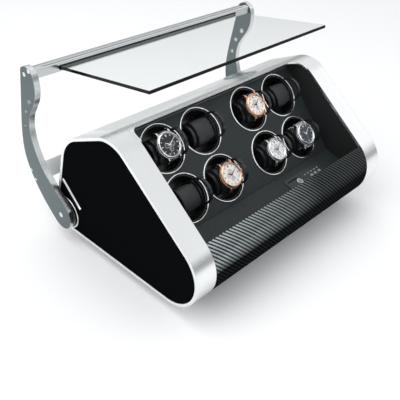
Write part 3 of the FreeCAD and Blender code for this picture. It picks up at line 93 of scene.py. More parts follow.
class Look:
    """A procedural material; its patterns live in row-frame millimetres or in a given frame."""

    def __init__(self, name, **inputs):
        self.material = bpy.data.materials.new(name)
        self.material.use_nodes = True
        self.tree = self.material.node_tree
        self.tree.nodes.clear()
        self.end = self.tree.nodes.new("ShaderNodeOutputMaterial")
        self.shader = self.tree.nodes.new("ShaderNodeBsdfPrincipled")
        self.tree.links.new(self.shader.outputs[0], self.end.inputs["Surface"])
        self.set(**inputs)

    def plug(self, socket, value):
        """Links a node output to a socket, or stores a plain value in it."""
        if isinstance(value, bpy.types.NodeSocket):
            self.tree.links.new(value, socket)
        elif isinstance(value, (tuple, list)) and socket.type == "RGBA" and len(value) == 3:
            socket.default_value = (*value, 1.0)
        else:
            socket.default_value = value

    def set(self, **inputs):
        """Sets the Principled shader's inputs; an underscore stands for a space."""
        for key, value in inputs.items():
            self.plug(self.shader.inputs[key.replace("_", " ")], value)
        return self

    def node(self, kind, *values, output=0, **settings):
        """A node with its settings and its first inputs filled in."""
        made = self.tree.nodes.new(f"ShaderNode{kind}")
        for key, value in settings.items():
            setattr(made, key, value)
        for socket, value in zip(made.inputs, values):
            if value is not None:
                self.plug(socket, value)
        return made.outputs[output]

    def math(self, operation, *values, clamp=False):
        """The result of a sum or test on sockets and numbers."""
        return self.node("Math", *values, operation=operation, use_clamp=clamp)

    def coords(self, place=ROW_FRAME, stretch=(1.0, 1.0, 1.0)):
        """Object coordinates seen from a frame, in millimetres, stretched along its axes."""
        spot = self.node("TexCoord", output=3)
        back = place.inverted()
        turned = self.node(
            "Mapping", spot, tuple(back.to_translation()), tuple(back.to_euler("XYZ"))
        )
        scale = tuple(s / MM for s in stretch)
        return self.node("VectorMath", turned, scale, operation="MULTIPLY")

    def axes(self, vector):
        """The x, y and z of a vector as three sockets."""
        made = self.tree.nodes.new("ShaderNodeSeparateXYZ")
        self.plug(made.inputs[0], vector)
        return made.outputs

    def noise(self, vector, scale, detail=3.0, rough=0.5):
        """Soft random clouds between 0 and 1."""
        made = self.tree.nodes.new("ShaderNodeTexNoise")
        for key, value in (("Vector", vector), ("Scale", scale)):
            self.plug(made.inputs[key], value)
        made.inputs["Detail"].default_value = detail
        made.inputs["Roughness"].default_value = rough
        return made.outputs[0]

    def cells(self, vector, scale):
        """The distance to the nearest border between random cells."""
        made = self.tree.nodes.new("ShaderNodeTexVoronoi")
        made.feature = "DISTANCE_TO_EDGE"
        self.plug(made.inputs["Vector"], vector)
        self.plug(made.inputs["Scale"], scale)
        return made.outputs["Distance"]

    def between(self, value, low, high, to_low=0.0, to_high=1.0):
        """A value mapped from one range to another, and held inside it."""
        return self.node("MapRange", value, low, high, to_low, to_high)

    def mix(self, share, first, second):
        """A colour between two."""
        made = self.tree.nodes.new("ShaderNodeMix")
        made.data_type = "RGBA"
        for index, value in ((0, share), (6, first), (7, second)):
            self.plug(made.inputs[index], value)
        return made.outputs[2]

    def relief(self, height, depth, soften=0.0):
        """Bumps of a depth in millimetres over edges softened by a radius in millimetres."""
        made = self.tree.nodes.new("ShaderNodeBump")
        made.inputs["Strength"].default_value = 1.0
        made.inputs["Distance"].default_value = depth * MM
        self.plug(made.inputs["Height"], height)
        if soften:
            self.plug(made.inputs["Normal"], self.node("Bevel", soften * MM, samples=4))
        self.set(Normal=made.outputs[0])
        return self


def brushed_metal(name, colour, rough, along, soften=0.5, painted_side_shade=None):
    """Satin metal brushed along the given axes; faces square to X may take a painted shade colour,
    darker as if those sides lay in shade.
    """
    look = Look(name, Metallic=1.0)
    stretch = [0.05 if axis in along else 3.0 for axis in "xyz"]
    lines = look.noise(look.coords(stretch=stretch), 1.0, 3.0, 0.6)
    clouds = look.noise(look.coords(), 0.012, 2.0)
    dark = tuple(0.95 * c for c in colour)
    face = look.mix(lines, dark, colour)
    # Painted shade: faces square to X take the darker side colour, standing in for shade on those
    # sides.
    if painted_side_shade:
        x, _, _ = look.axes(look.node("NewGeometry", output=1))
        shaded_side_share = look.between(look.math("ABSOLUTE", x), 0.75, 0.95)
        face = look.mix(shaded_side_share, face, painted_side_shade)
    look.set(
        Base_Color=face,
        Roughness=look.math(
            "ADD", look.between(lines, 0.3, 0.7, rough - 0.02, rough + 0.02),
            look.between(clouds, 0.3, 0.7, -0.01, 0.01),
        ),
        Anisotropic=0.35,
    )
    return look.relief(lines, 0.003, soften).material


def polished_metal(name, colour, rough=0.06, soften=0.15):
    """Polished metal with faint wipe marks."""
    look = Look(name, Metallic=1.0, Base_Color=colour)
    wipes = look.noise(look.coords(stretch=(0.8, 0.3, 0.5)), 0.35, 4.0, 0.6)
    look.set(Roughness=look.between(wipes, 0.35, 0.75, rough, rough + 0.08))
    return look.relief(wipes, 0.004, soften).material


def carbon_fibre(name, tow, across, along, coat, gloss, tone, painted_highlight):
    """Twill-woven carbon fibre under clear lacquer, over two surface coordinates.

    The share of metallic lustre, lacquer and light thread colour at a place, from 0 to 1, is a
    painted highlight.
    """
    look = Look(name)
    across, along = across(look), along(look)
    painted_highlight = painted_highlight(look)
    u, v = look.math("DIVIDE", across, tow), look.math("DIVIDE", along, tow)
    steps = look.math("ADD", look.math("FLOOR", u), look.math("FLOOR", v))
    over = look.math("LESS_THAN", look.math("FLOORED_MODULO", steps, 4.0), 2.0)

    def crest(value):
        centred = look.math("MULTIPLY_ADD", look.math("FRACT", value), 2.0, -1.0)
        return look.math("SUBTRACT", 1.0, look.math("MULTIPLY", centred, centred))

    def threads(value, other):
        vector = look.node("CombineXYZ", look.math("MULTIPLY", value, 14.0), other, 0.0)
        return look.noise(vector, 1.0, 2.0)

    def either(first, second):
        mixed = look.node("Mix", over)
        look.plug(mixed.node.inputs[2], first)
        look.plug(mixed.node.inputs[3], second)
        return mixed

    height = either(crest(v), crest(u))
    fibres = either(threads(v, u), threads(u, v))
    dull = look.mix(fibres, (0.0010, 0.0012, 0.0014), (0.0030, 0.0035, 0.0040))
    faint, low, high = [
        tuple(tone * share for share in shade)
        for shade in ((0.012, 0.014, 0.015), (0.34, 0.39, 0.40), (0.54, 0.61, 0.62))
    ]
    # Painted sheen and shade: over-threads take the lighter thread colour, brightest at their crests,
    # while under-threads and the valleys between tows take the near-black dull colour.
    shade = look.math("MULTIPLY", over, look.between(height, 0.0, 0.6))
    # Painted highlight: inside it the threads take the light low and high colours, elsewhere the
    # faint one.
    thread = look.mix(painted_highlight, faint, look.mix(fibres, low, high))
    look.set(
        Base_Color=look.mix(shade, dull, thread),
        Metallic=look.between(painted_highlight, 0.0, 1.0, 0.0, 0.85),
        Roughness=look.between(over, 0.0, 1.0, 0.45, 0.36),
        Specular_IOR_Level=look.between(painted_highlight, 0.0, 1.0, 0.0, 0.1),
        Coat_Weight=look.math("MULTIPLY", painted_highlight, coat),
        Coat_Roughness=gloss,
    )
    return look.relief(height, 0.08).material


def leather(name, colour, grain=0.9, rough=0.46, depth=0.10):
    """Fine-grained leather: small cells between creases, with soft colour clouds and painted shade
    darkening the creases.
    """
    look = Look(name)
    spot = look.coords()
    waver = look.node("VectorMath", spot, None, operation="ADD")
    look.plug(waver.node.inputs[1], look.noise(spot, 0.5, 2.0))
    cells = look.between(look.cells(waver, 1.0 / grain), 0.0, 0.35)
    pores = look.noise(spot, 3.2, 3.0, 0.6)
    clouds = look.noise(spot, 0.03, 3.0)
    light = tuple(1.35 * c for c in colour)
    painted_crease_shade = tuple(0.55 * c for c in colour)
    look.set(
        # Painted shade: the creases between the cells take the darker tone.
        Base_Color=look.mix(cells, painted_crease_shade, look.mix(clouds, colour, light)),
        Roughness=look.between(cells, 0.0, 1.0, rough + 0.16, rough),
        Specular_IOR_Level=0.45,
        Sheen_Weight=0.08,
        Sheen_Roughness=0.4,
    )
    height = look.math("MULTIPLY_ADD", pores, 0.25, cells)
    return look.relief(height, depth, 0.4).material


def moulded_plastic(name, colour, rough=0.34, soften=0.35):
    """Moulded plastic with a fine spark-eroded grain and slightly rubbed edges."""
    look = Look(name)
    spot = look.coords()
    fine = look.noise(spot, 4.0, 2.0)
    rubs = look.noise(spot, 0.09, 4.0, 0.6)
    light = tuple(min(1.0, 1.5 * c + 0.004) for c in colour)
    look.set(
        Base_Color=look.mix(look.between(rubs, 0.4, 0.75), colour, light),
        Roughness=look.between(rubs, 0.3, 0.7, rough - 0.05, rough + 0.08),
        Specular_IOR_Level=0.5,
    )
    return look.relief(fine, 0.015, soften).material


def coated_metal(name, colour, rough=0.5):
    """Powder-coated sheet with its fine orange-peel surface."""
    look = Look(name)
    spot = look.coords()
    peel = look.noise(spot, 1.3, 3.0, 0.65)
    clouds = look.noise(spot, 0.02, 2.0)
    light = tuple(1.4 * c for c in colour)
    look.set(
        Base_Color=look.mix(clouds, colour, light),
        Roughness=look.between(peel, 0.3, 0.7, rough - 0.06, rough + 0.08),
    )
    return look.relief(peel, 0.05, 0.4).material


def round_bands(look, centre, bands):
    """1 inside any of the radius bands about an X-parallel axis, in millimetres."""
    _, y, z = look.axes(look.coords())
    dy, dz = look.math("SUBTRACT", y, centre.y), look.math("SUBTRACT", z, centre.z)
    radius = look.math("SQRT", look.math(
        "ADD", look.math("MULTIPLY", dy, dy), look.math("MULTIPLY", dz, dz)))
    total = 0.0
    for low, high in bands:
        inside = look.math("MULTIPLY", look.math("GREATER_THAN", radius, low),
                           look.math("LESS_THAN", radius, high))
        total = look.math("ADD", inside, total, clamp=True)
    return total


HUB_RIMS = ((12.2, 14.2), (26.9, 30.5))


def hub_look():
    """Black disc with two bright turned rims."""
    look = Look("black_hub_with_bright_rims")
    rim = round_bands(look, PIVOT, HUB_RIMS)
    turned = look.noise(look.coords(), 2.2, 3.0)
    look.set(
        Base_Color=look.mix(rim, (0.012, 0.012, 0.013), (0.82, 0.83, 0.84)),
        Metallic=look.between(rim, 0.0, 1.0, 0.1, 1.0),
        Roughness=look.between(turned, 0.3, 0.7, 0.16, 0.26),
    )
    return look.relief(turned, 0.006, 0.3).material


def front_share(look, index, strength):
    """The mirrored share of light on the faces turned to the viewer."""
    back = look.node("NewGeometry", output=6)
    share = look.math("MULTIPLY", look.node("Fresnel", index), strength)
    return look.math("MULTIPLY", share, look.math("SUBTRACT", 1.0, back))


def glass_look(name, place, tint, edge):
    """Clear sheet glass that is dark where its cut edges show."""
    look = Look(name)
    facing = look.node("TexCoord", output=1)
    normal = tuple((place.to_3x3() @ Vector((0.0, 0.0, 1.0))))
    along = look.node("VectorMath", facing, normal, operation="DOT_PRODUCT", output=1)
    edge_face = look.math("LESS_THAN", look.math("ABSOLUTE", along), 0.7)
    toward = look.math("SUBTRACT", 1.0, look.node("NewGeometry", output=6))
    cut = look.math("MULTIPLY", edge_face, toward)
    clear = look.node("BsdfTransparent", (*tint, 1.0))
    wipes = look.noise(look.coords(stretch=(0.5, 1.0, 1.0)), 0.02, 3.0)
    gloss = look.node("BsdfGlossy", (1.0, 1.0, 1.0, 1.0), look.between(wipes, 0.3, 0.7, 0.0, 0.03))
    pane = look.node("MixShader", front_share(look, 1.5, 0.8), clear, gloss)
    look.set(Base_Color=edge, Roughness=0.12, Specular_IOR_Level=0.15)
    both = look.node("MixShader", cut, pane, look.shader.outputs[0])
    look.tree.links.new(both, look.end.inputs["Surface"])
    return look.material


def crystal_look():
    """Thin clear watch crystal: mostly see-through, with soft reflections."""
    look = Look("watch_crystal")
    clear = look.node("BsdfTransparent", (0.97, 0.98, 0.98, 1.0))
    smear = look.noise(look.coords(), 0.3, 2.0)
    gloss = look.node("BsdfGlossy", (1.0, 1.0, 1.0, 1.0), look.between(smear, 0.2, 0.8, 0.0, 0.04))
    mixed = look.node("MixShader", front_share(look, 1.4, 0.5), clear, gloss)
    look.tree.links.new(mixed, look.end.inputs["Surface"])
    return look.material


def dial_look(name, colour, place, sheen=0.35):
    """Sun-brushed dial: fine rays from the centre, in a watch's own frame."""
    look = Look(name)
    x, y, _ = look.axes(look.coords(place))
    angle = look.math("ARCTAN2", y, x)
    rays = look.noise(look.node("CombineXYZ", look.math("MULTIPLY", angle, 30.0), 0.0, 0.0), 1.0)
    light = tuple(min(1.0, 1.25 * c + 0.01) for c in colour)
    look.set(
        Base_Color=look.mix(rays, colour, light),
        Metallic=sheen,
        Roughness=look.between(rays, 0.3, 0.7, 0.28, 0.42),
    )
    return look.relief(rays, 0.004).material


CHIP_LEVEL = 31.7
PILLAR_LEVEL = 29.9


def circuit_look():
    """Green board with pale tracks, dark chips above it and metal pillars below."""
    look = Look("circuit_board_green")
    spot = look.coords()
    _, _, z = look.axes(spot)
    tracks = look.cells(look.node("VectorMath", spot, (1.0, 1.0, 0.0), operation="MULTIPLY"), 0.22)
    line = look.math("LESS_THAN", tracks, 0.06)
    board = look.mix(line, (0.012, 0.085, 0.035), (0.035, 0.20, 0.09))
    chip = look.math("GREATER_THAN", z, CHIP_LEVEL)
    pillar = look.math("LESS_THAN", z, PILLAR_LEVEL)
    colour = look.mix(chip, board, (0.018, 0.018, 0.02))
    colour = look.mix(pillar, colour, (0.72, 0.60, 0.32))
    look.set(Base_Color=colour, Metallic=pillar, Roughness=look.between(
        look.noise(spot, 0.8), 0.3, 0.7, 0.30, 0.45))
    return look.relief(line, 0.02, 0.2).material


def rubber_look():
    """Dull black rubber, a little dusty."""
    look = Look("black_rubber")
    dust = look.noise(look.coords(), 0.8, 5.0, 0.7)
    look.set(
        Base_Color=look.mix(look.between(dust, 0.4, 0.8), (0.012, 0.012, 0.012), (0.035,) * 3),
        Roughness=look.between(dust, 0.3, 0.7, 0.68, 0.85),
        Specular_IOR_Level=0.3,
    )
    return look.relief(dust, 0.04, 0.4).material


WINDOW_LEFT, WINDOW_RIGHT = 54.9, 80.1
WINDOW_FRONT, WINDOW_BACK = -21.1, -17.4


def fascia_look():
    """Dark satin fascia with a black display window, laid out in the ledge's frame."""
    look = Look("control_fascia")
    x, y, _ = look.axes(look.coords(LEDGE))
    window = 1.0
    for operation, value, limit in (
        ("GREATER_THAN", x, WINDOW_LEFT), ("LESS_THAN", x, WINDOW_RIGHT),
        ("GREATER_THAN", y, WINDOW_FRONT), ("LESS_THAN", y, WINDOW_BACK),
    ):
        window = look.math("MULTIPLY", look.math(operation, value, limit), window)
    grain = look.noise(look.coords(LEDGE, (0.4, 6.0, 1.0)), 1.0, 3.0)
    face = look.mix(grain, (0.030, 0.035, 0.036), (0.060, 0.068, 0.070))
    look.set(
        Base_Color=look.mix(window, face, (0.002, 0.002, 0.002)),
        Metallic=0.5,
        Roughness=look.between(grain, 0.3, 0.7, 0.28, 0.40),
    )
    return look.relief(grain, 0.01, 0.2).material


ALUMINIUM = (0.90, 0.915, 0.912)


def axis(number):
    """A function that reads one coordinate of the box, in millimetres."""
    return lambda look: look.axes(look.coords())[number]


def nose_angle(look):
    """The angle above the level round the nose's axis, in radians."""
    _, y, z = look.axes(look.coords())
    dy = look.math("SUBTRACT", NOSE.y, y)
    dz = look.math("SUBTRACT", z, NOSE.z)
    return look.math("ARCTAN2", dz, dy)


def nose_along(look):
    """Arc length round the nose, growing upwards, in millimetres."""
    return look.math("MULTIPLY", nose_angle(look), NOSE_RADIUS)


def nose_painted_highlight(look):
    """Painted highlight: strongest on the nose's upper round and near the left end, none below."""
    upper = look.between(nose_angle(look), math.radians(4.0), math.radians(26.0))
    return look.math("MULTIPLY", upper, look.between(axis(0)(look), -190.0, 60.0, 1.0, 0.10))


def no_painted_highlight(look):
    """No painted highlight anywhere: a dull weave."""
    return 0.0


LOOKS = {
    "end_frame": brushed_metal("brushed_end_band", ALUMINIUM, 0.25, "yz", 0.7),
    "cover": brushed_metal("brushed_cover", ALUMINIUM, 0.26, "x", 0.5),
    # The arm's darker side colour is painted shade on its faces square to X.
    "arm": brushed_metal("brushed_arm", (0.78, 0.80, 0.80), 0.22, "z", 0.6, (0.11, 0.14, 0.145)),
    "bar": brushed_metal("brushed_bar", (0.74, 0.765, 0.77), 0.22, "x", 0.5),
    "tie": brushed_metal("brushed_tie", (0.95, 0.97, 0.97), 0.45, "x", 0.5),
    "plate": brushed_metal("brushed_top_plate", (0.42, 0.46, 0.46), 0.3, "x", 0.2),
    "steel": brushed_metal("plain_steel", (0.52, 0.53, 0.55), 0.30, "x", 0.2),
    "motor": brushed_metal("plated_motor_can", (0.55, 0.55, 0.56), 0.25, "z", 0.3),
    "chrome": polished_metal("polished_chrome", (0.88, 0.89, 0.90)),
    "rail": polished_metal("bright_rail", (0.84, 0.85, 0.86), 0.10, 0.3),
    "bronze": brushed_metal("turned_bronze", (0.62, 0.42, 0.20), 0.28, "x", 0.2),
    # The apron's painted highlight lies on the nose's upper round, strongest at the left end.
    "apron": carbon_fibre("carbon_apron", 1.75, axis(0), nose_along, 0.5, 0.15, 1.3, nose_painted_highlight),
    "side": carbon_fibre("carbon_side_panel", 0.85, axis(1), axis(2), 0.0, 0.3, 0.5, no_painted_highlight),
    "black": coated_metal("black_powder_coat", (0.010, 0.011, 0.012)),
    "wall": leather("black_lining", (0.012, 0.013, 0.014), 0.8, 0.5),
    "panel": leather("grey_leather", (0.016, 0.025, 0.028)),
    "cushion": leather("cushion_leather", (0.030, 0.036, 0.037), 0.7, 0.42, 0.06),
    "piping": leather("cushion_piping", (0.018, 0.021, 0.022), 0.5, 0.40, 0.04),
    "rotor": moulded_plastic("black_moulding", (0.010, 0.011, 0.012), 0.24),
    "gear": moulded_plastic("natural_acetal", (0.72, 0.70, 0.64), 0.40, 0.1),
    "socket": moulded_plastic("socket_plastic", (0.012, 0.012, 0.012), 0.4, 0.2),
    "sheath": moulded_plastic("cable_sheath", (0.020, 0.020, 0.022), 0.45, 0.0),
    "hub": hub_look(),
    "fascia": fascia_look(),
    "button": moulded_plastic("button_plastic", (0.25, 0.27, 0.28), 0.3, 0.2),
    "circuit": circuit_look(),
    "rubber": rubber_look(),
    "glass": glass_look("clear_lid_glass", GLASS, (0.975, 0.985, 0.985), (0.0005, 0.001, 0.001)),
    "thread": moulded_plastic("sewing_thread", (0.15, 0.17, 0.17), 0.6, 0.0),
    "crystal": crystal_look(),
    "strap": leather("black_strap", (0.012, 0.011, 0.011), 0.6, 0.38, 0.06),
    "watch_steel": polished_metal("watch_steel", (0.78, 0.79, 0.80), 0.10, 0.2),
    "rose_gold": polished_metal("rose_gold", (0.86, 0.52, 0.36), 0.10, 0.2),
    "dark_mark": moulded_plastic("dark_marks", (0.010, 0.010, 0.014), 0.25, 0.0),
    "white_mark": moulded_plastic("white_marks", (0.86, 0.87, 0.85), 0.30, 0.0),
    "seam": moulded_plastic("pale_seam_thread", (0.20, 0.22, 0.22), 0.6, 0.0),
}

NODE_LOOKS = {
    "end_frame": "end_frame", "side_panels": "side", "bulkheads": "wall", "lid_arm": "arm",
    "top_cover": "cover", "rear_cover": "black", "front_apron": "apron", "base_plate": "black",
    "rubber_feet": "rubber", "rotor_panel": "panel", "ledge_panel": "panel",
    "control_panel": "fascia", "program_button": "button", "bezel_rings": "chrome",
    "drive_plate": "steel", "rotor_bushes": "bronze", "panel_standoffs": "steel",
    "drive_motors": "motor", "control_board": "circuit", "power_socket": "socket",
    "wiring_loom": "sheath", "pivot_hubs": "hub", "arm_stop_rails": "rail",
    "top_plate": "plate", "body_screws": "steel", "top_bar": "bar", "glass_pane": "glass",
    "glass_gasket": "rubber", "rear_crossbar": "tie", "lid_screws": "watch_steel",
    "pivot_spindles": "steel", "rotor": "rotor", "cushion": "cushion", "watch": "watch_steel",
    "motor_pulley": "gear", "drive_belts": "rubber",
}


def dress_cad_nodes():
    """Gives every carried-over CAD node its material."""
    for name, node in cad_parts.items():
        stem = name.split("_upper")[0].split("_lower")[0].removeprefix("left_")
        stem = stem.removeprefix("right_").rstrip("_1234")
        node.data.materials.clear()
        node.data.materials.append(LOOKS[NODE_LOOKS[stem]])


# ---------------------------------------------------------------------------------------------
# Mesh builders
# ---------------------------------------------------------------------------------------------


class Mesh:
    """Collects the faces of one piece, in millimetres, and turns them into an object."""

    def __init__(self):
        self.bm = bmesh.new()

    def grid(self, rows, closed_along=False):
        """A skin through rings of points, with both ends capped unless they meet."""
        rings = [[self.bm.verts.new(p) for p in row] for row in rows]
        stations = len(rings) if closed_along else len(rings) - 1
        width = len(rings[0])
        for i in range(stations):
            here, following = rings[i], rings[(i + 1) % len(rings)]
            for j in range(width):
                k = (j + 1) % width
                self.bm.faces.new((here[j], here[k], following[k], following[j]))
        if not closed_along:
            self.bm.faces.new(tuple(reversed(rings[0])))
            self.bm.faces.new(tuple(rings[-1]))
        return self

    def lathe(self, profile, segments=64, centre=(0.0, 0.0, 0.0)):
        """A solid turned about Z from (radius, height) points."""
        cx, cy, cz = centre
        return self.grid([
            [(cx + x, cy + y, cz + height) for x, y in circle(radius, segments)]
            for radius, height in profile
        ])

    def prism(self, outline, low, high, place=None, bevel=0.0, segments=2):
        """An outline in x and y grown from low to high, with its edges rounded."""
        place = place or Matrix.Identity(4)
        bottom = [self.bm.verts.new(place @ Vector((x, y, low))) for x, y in outline]
        top = [self.bm.verts.new(place @ Vector((x, y, high))) for x, y in outline]
        count = len(outline)
        made = [self.bm.faces.new(tuple(reversed(bottom))), self.bm.faces.new(tuple(top))]
        for i in range(count):
            k = (i + 1) % count
            made.append(self.bm.faces.new((bottom[i], bottom[k], top[k], top[i])))
        if bevel:
            edges = {edge for face in made for edge in face.edges}
            bmesh.ops.bevel(self.bm, geom=list(edges), offset=bevel, segments=segments,
                            affect="EDGES", clamp_overlap=True)
        return self

    def sweep(self, path, section, closed=False, side=Vector((1, 0, 0)), sizes=None):
        """A section of (side, out) offsets carried along a path, square to it."""
        count = len(path)
        rows = []
        for i, point in enumerate(path):
            before = path[i - 1] if (i or closed) else path[0]
            after = path[(i + 1) % count] if (i < count - 1 or closed) else path[-1]
            tangent = (after - before).normalized()
            out = tangent.cross(side).normalized()
            wide, thick = sizes[i] if sizes else (1.0, 1.0)
            rows.append([point + side * (a * wide) + out * (b * thick) for a, b in section])
        return self.grid(rows, closed_along=closed)

    def finish(self, name, place, look, body, slot, smooth=35.0, subdivide=0):
        """Makes the object in the row frame, riding on its body."""
        bmesh.ops.recalc_face_normals(self.bm, faces=self.bm.faces)
        mesh = bpy.data.meshes.new(name)
        for vert in self.bm.verts:
            vert.co = place @ (vert.co * MM)
        self.bm.to_mesh(mesh)
        self.bm.free()
        return shown(name, mesh, look, body, smooth, subdivide)


def shown(name, mesh, look, body, smooth=35.0, subdivide=0):
    """An object with its material, smoothing and body."""
    piece = bpy.data.objects.new(name, mesh)
    bpy.context.scene.collection.objects.link(piece)
    mesh.materials.clear()
    mesh.materials.append(look if isinstance(look, bpy.types.Material) else LOOKS[look])
    mesh.shade_smooth()
    mesh.set_sharp_from_angle(angle=math.radians(smooth))
    if subdivide:
        modifier = piece.modifiers.new("subdivision", "SUBSURF")
        modifier.levels = modifier.render_levels = subdivide
    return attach(piece, body)


def circle(radius, count):
    """Points spaced evenly round a circle."""
    angles = (2 * math.pi * k / count for k in range(count))
    return [(radius * math.cos(a), radius * math.sin(a)) for a in angles]


def arc(centre, radius, start, end, count):
    """Points on an arc, angles in degrees."""
    steps = (math.radians(start + (end - start) * k / (count - 1)) for k in range(count))
    return [(centre[0] + radius * math.cos(a), centre[1] + radius * math.sin(a)) for a in steps]


def smooth_path(points, steps=6):
    """A Catmull-Rom curve through a list of vectors."""
    made = []
    last = len(points) - 1
    for i in range(last):
        p0, p1 = points[max(i - 1, 0)], points[i]
        p2, p3 = points[i + 1], points[min(i + 2, last)]
        for k in range(steps):
            t = k / steps
            made.append(0.5 * (2 * p1 + (p2 - p0) * t + (2 * p0 - 5 * p1 + 4 * p2 - p3) * t * t
                               + (3 * p1 - p0 - 3 * p2 + p3) * t ** 3))
    made.append(points[-1].copy())
    return made


def spaced(path, spacing):
    """Points at even spacing along a path, each with its direction."""
    found, walked = [], spacing / 2
    travelled = 0.0
    for a, b in zip(path, path[1:]):
        length = (b - a).length
        while travelled + length >= walked:
            share = (walked - travelled) / length
            found.append((a.lerp(b, share), (b - a).normalized()))
            walked += spacing
        travelled += length
    return found


def add_stitch(mesh, centre, direction, up, length, radius):
    """One sewn stitch: a short thread whose ends dip into the leather."""
    side = direction.cross(up).normalized()
    rows = []
    for share, rise, swell in ((-0.5, -0.35, 0.5), (-0.3, 0.1, 1.0), (0.0, 0.25, 1.05),
                               (0.3, 0.1, 1.0), (0.5, -0.35, 0.5)):
        middle = centre + direction * (share * length) + up * (rise * radius * 2)
        rows.append([middle + side * a + up * b for a, b in circle(radius * swell, 6)])
    mesh.grid(rows)


# ---------------------------------------------------------------------------------------------
# Cushions
# ---------------------------------------------------------------------------------------------

CUSHION_HALF_WIDTH = 16.9
CUSHION_HALF_HEIGHT = 19.2
CUSHION_BACK = -9.4
CUSHION_EDGE = 4.2
CUSHION_CROWN = 11.2
CLOTH_SCALE = 10.0
CLOTH_GRID = 1.5
CLOTH_FRAMES = 14
CLOTH_PRESSURE = 4.0
CLOTH_STIFFNESS = 25.0
PUFF_LIMIT = 1.0
PIPING_RADIUS = 0.55


def cushion_profile():
    """The cushion's side view in (u, n): flat back, soft ends, arched front."""
    half, corner = CUSHION_HALF_HEIGHT, 3.0
    rise = CUSHION_CROWN - CUSHION_EDGE
    radius = (half * half + rise * rise) / (2 * rise)
    lean = math.degrees(math.asin((half - 2.0) / radius))
    points = arc((half - corner, CUSHION_BACK + corner), corner, -90.0, 0.0, 4)
    points += arc((0.0, CUSHION_CROWN - radius), radius, 90.0 - lean, 90.0 + lean, 13)
    points += arc((-half + corner, CUSHION_BACK + corner), corner, 180.0, 270.0, 4)
    return points


def blow_up(pad):
    """Inflates a pad by a short cloth simulation, moving no vertex beyond the limit."""
    start = [v.co.copy() for v in pad.data.vertices]
    settings = pad.modifiers.new("cloth", "CLOTH").settings
    settings.use_pressure = True
    settings.uniform_pressure_force = CLOTH_PRESSURE
    settings.mass = 0.2
    settings.tension_stiffness = CLOTH_STIFFNESS
    settings.compression_stiffness = CLOTH_STIFFNESS
    settings.bending_stiffness = 2.0
    settings.effector_weights.gravity = 0.0
    scene = bpy.context.scene
    for step in range(1, CLOTH_FRAMES + 1):
        scene.frame_set(step)
        bpy.context.view_layer.update()
    blown = evaluated_mesh(pad)
    pad.modifiers.clear()
    scene.frame_set(1)
    limit = PUFF_LIMIT * MM * CLOTH_SCALE
    for vert, rest, new in zip(pad.data.vertices, start, blown.vertices):
        shift = new.co - rest
        if shift.length > limit:
            shift = shift.normalized() * limit
        vert.co = rest + shift


def puffed_cushion():
    """A cushion skin, blown up by the cloth simulation, as a mesh in millimetres."""
    skin = Mesh()
    profile = cushion_profile()
    stations = ((-1.0, 0.88), (-0.9, 0.97), (-0.6, 1.0), (0.0, 1.0), (0.6, 1.0), (0.9, 0.97),
                (1.0, 0.88))
    rows = []
    for share, pinch in stations:
        x = share * CUSHION_HALF_WIDTH
        rows.append([(x, u * pinch, n * pinch if n > 0 else n) for u, n in profile])
    skin.grid(rows)
    bmesh.ops.recalc_face_normals(skin.bm, faces=skin.bm.faces)
    mesh = bpy.data.meshes.new("cushion_skin")
    for vert in skin.bm.verts:
        vert.co = vert.co * MM * CLOTH_SCALE
    skin.bm.to_mesh(mesh)
    skin.bm.free()
    pad = bpy.data.objects.new("cushion_skin", mesh)
    bpy.context.scene.collection.objects.link(pad)
    remesh = pad.modifiers.new("even", "REMESH")
    remesh.mode = "VOXEL"
    remesh.voxel_size = CLOTH_GRID * MM * CLOTH_SCALE
    pad.data = evaluated_mesh(pad)
    pad.modifiers.clear()
    blow_up(pad)
    for vert in pad.data.vertices:
        vert.co = vert.co / (MM * CLOTH_SCALE)
    made = pad.data
    bpy.data.objects.remove(pad)
    return made


def evaluated_mesh(obj):
    """The object's mesh with its modifiers applied."""
    bpy.context.view_layer.update()
    graph = bpy.context.evaluated_depsgraph_get()
    return bpy.data.meshes.new_from_object(obj.evaluated_get(graph))


def girth(tree, x, start, end, count, lift=0.0):
    """Points round the cushion's skin at x, between two angles in degrees."""
    points = []
    for k in range(count):
        angle = math.radians(start + (end - start) * k / (count - 1))
        out = Vector((0.0, math.cos(angle), math.sin(angle)))
        hit, _, _, _ = tree.ray_cast(Vector((x, 0.0, 0.0)) + out * 60.0, -out)
        points.append(hit + out * lift)
    return points


def make_cushions():
    """Eight padded cushions with piped side seams; returns the skin for the straps to follow."""
    pad = puffed_cushion()
    tree = BVHTree.FromPolygons([v.co for v in pad.vertices], [p.vertices for p in pad.polygons])
    for name in PLACES:
        place = holder(name)
        mesh = pad.copy()
        mesh.name = f"cushion_pad_{name}"
        for vert in mesh.vertices:
            vert.co = place @ (vert.co * MM)
        body = f"rotor_{name}"
        piece = shown(mesh.name, mesh, "cushion", body, 80.0, 1)
        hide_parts(f"cushion_{name}")
        piping = Mesh()
        for x in (-CUSHION_HALF_WIDTH + 1.2, CUSHION_HALF_WIDTH - 1.2):
            loop = girth(tree, x, 0.0, 360.0, 73)[:-1]
            piping.sweep(loop, circle(PIPING_RADIUS, 8), closed=True)
        piping.finish(f"cushion_piping_{name}", place, "piping", body, "cushion_fabric", 80.0)
    return tree


# ---------------------------------------------------------------------------------------------
# Wristwatches
# ---------------------------------------------------------------------------------------------

BACK = 12.5
BEZEL_TOP = 22.6
DIAL_LEVEL = 20.7
AXIS_RADIUS = 0.02
DIAL_INSET = 4.55
MARK_INSET = 4.7
STRAP_HALF = 9.6


def ring_profile(low_radius, high_radius, low, high, round_off):
    """A small raised ring as (radius, height) points."""
    return [(low_radius, low), (low_radius, high - round_off), (low_radius + round_off, high),
            (high_radius - round_off, high), (high_radius, high - round_off), (high_radius, low)]


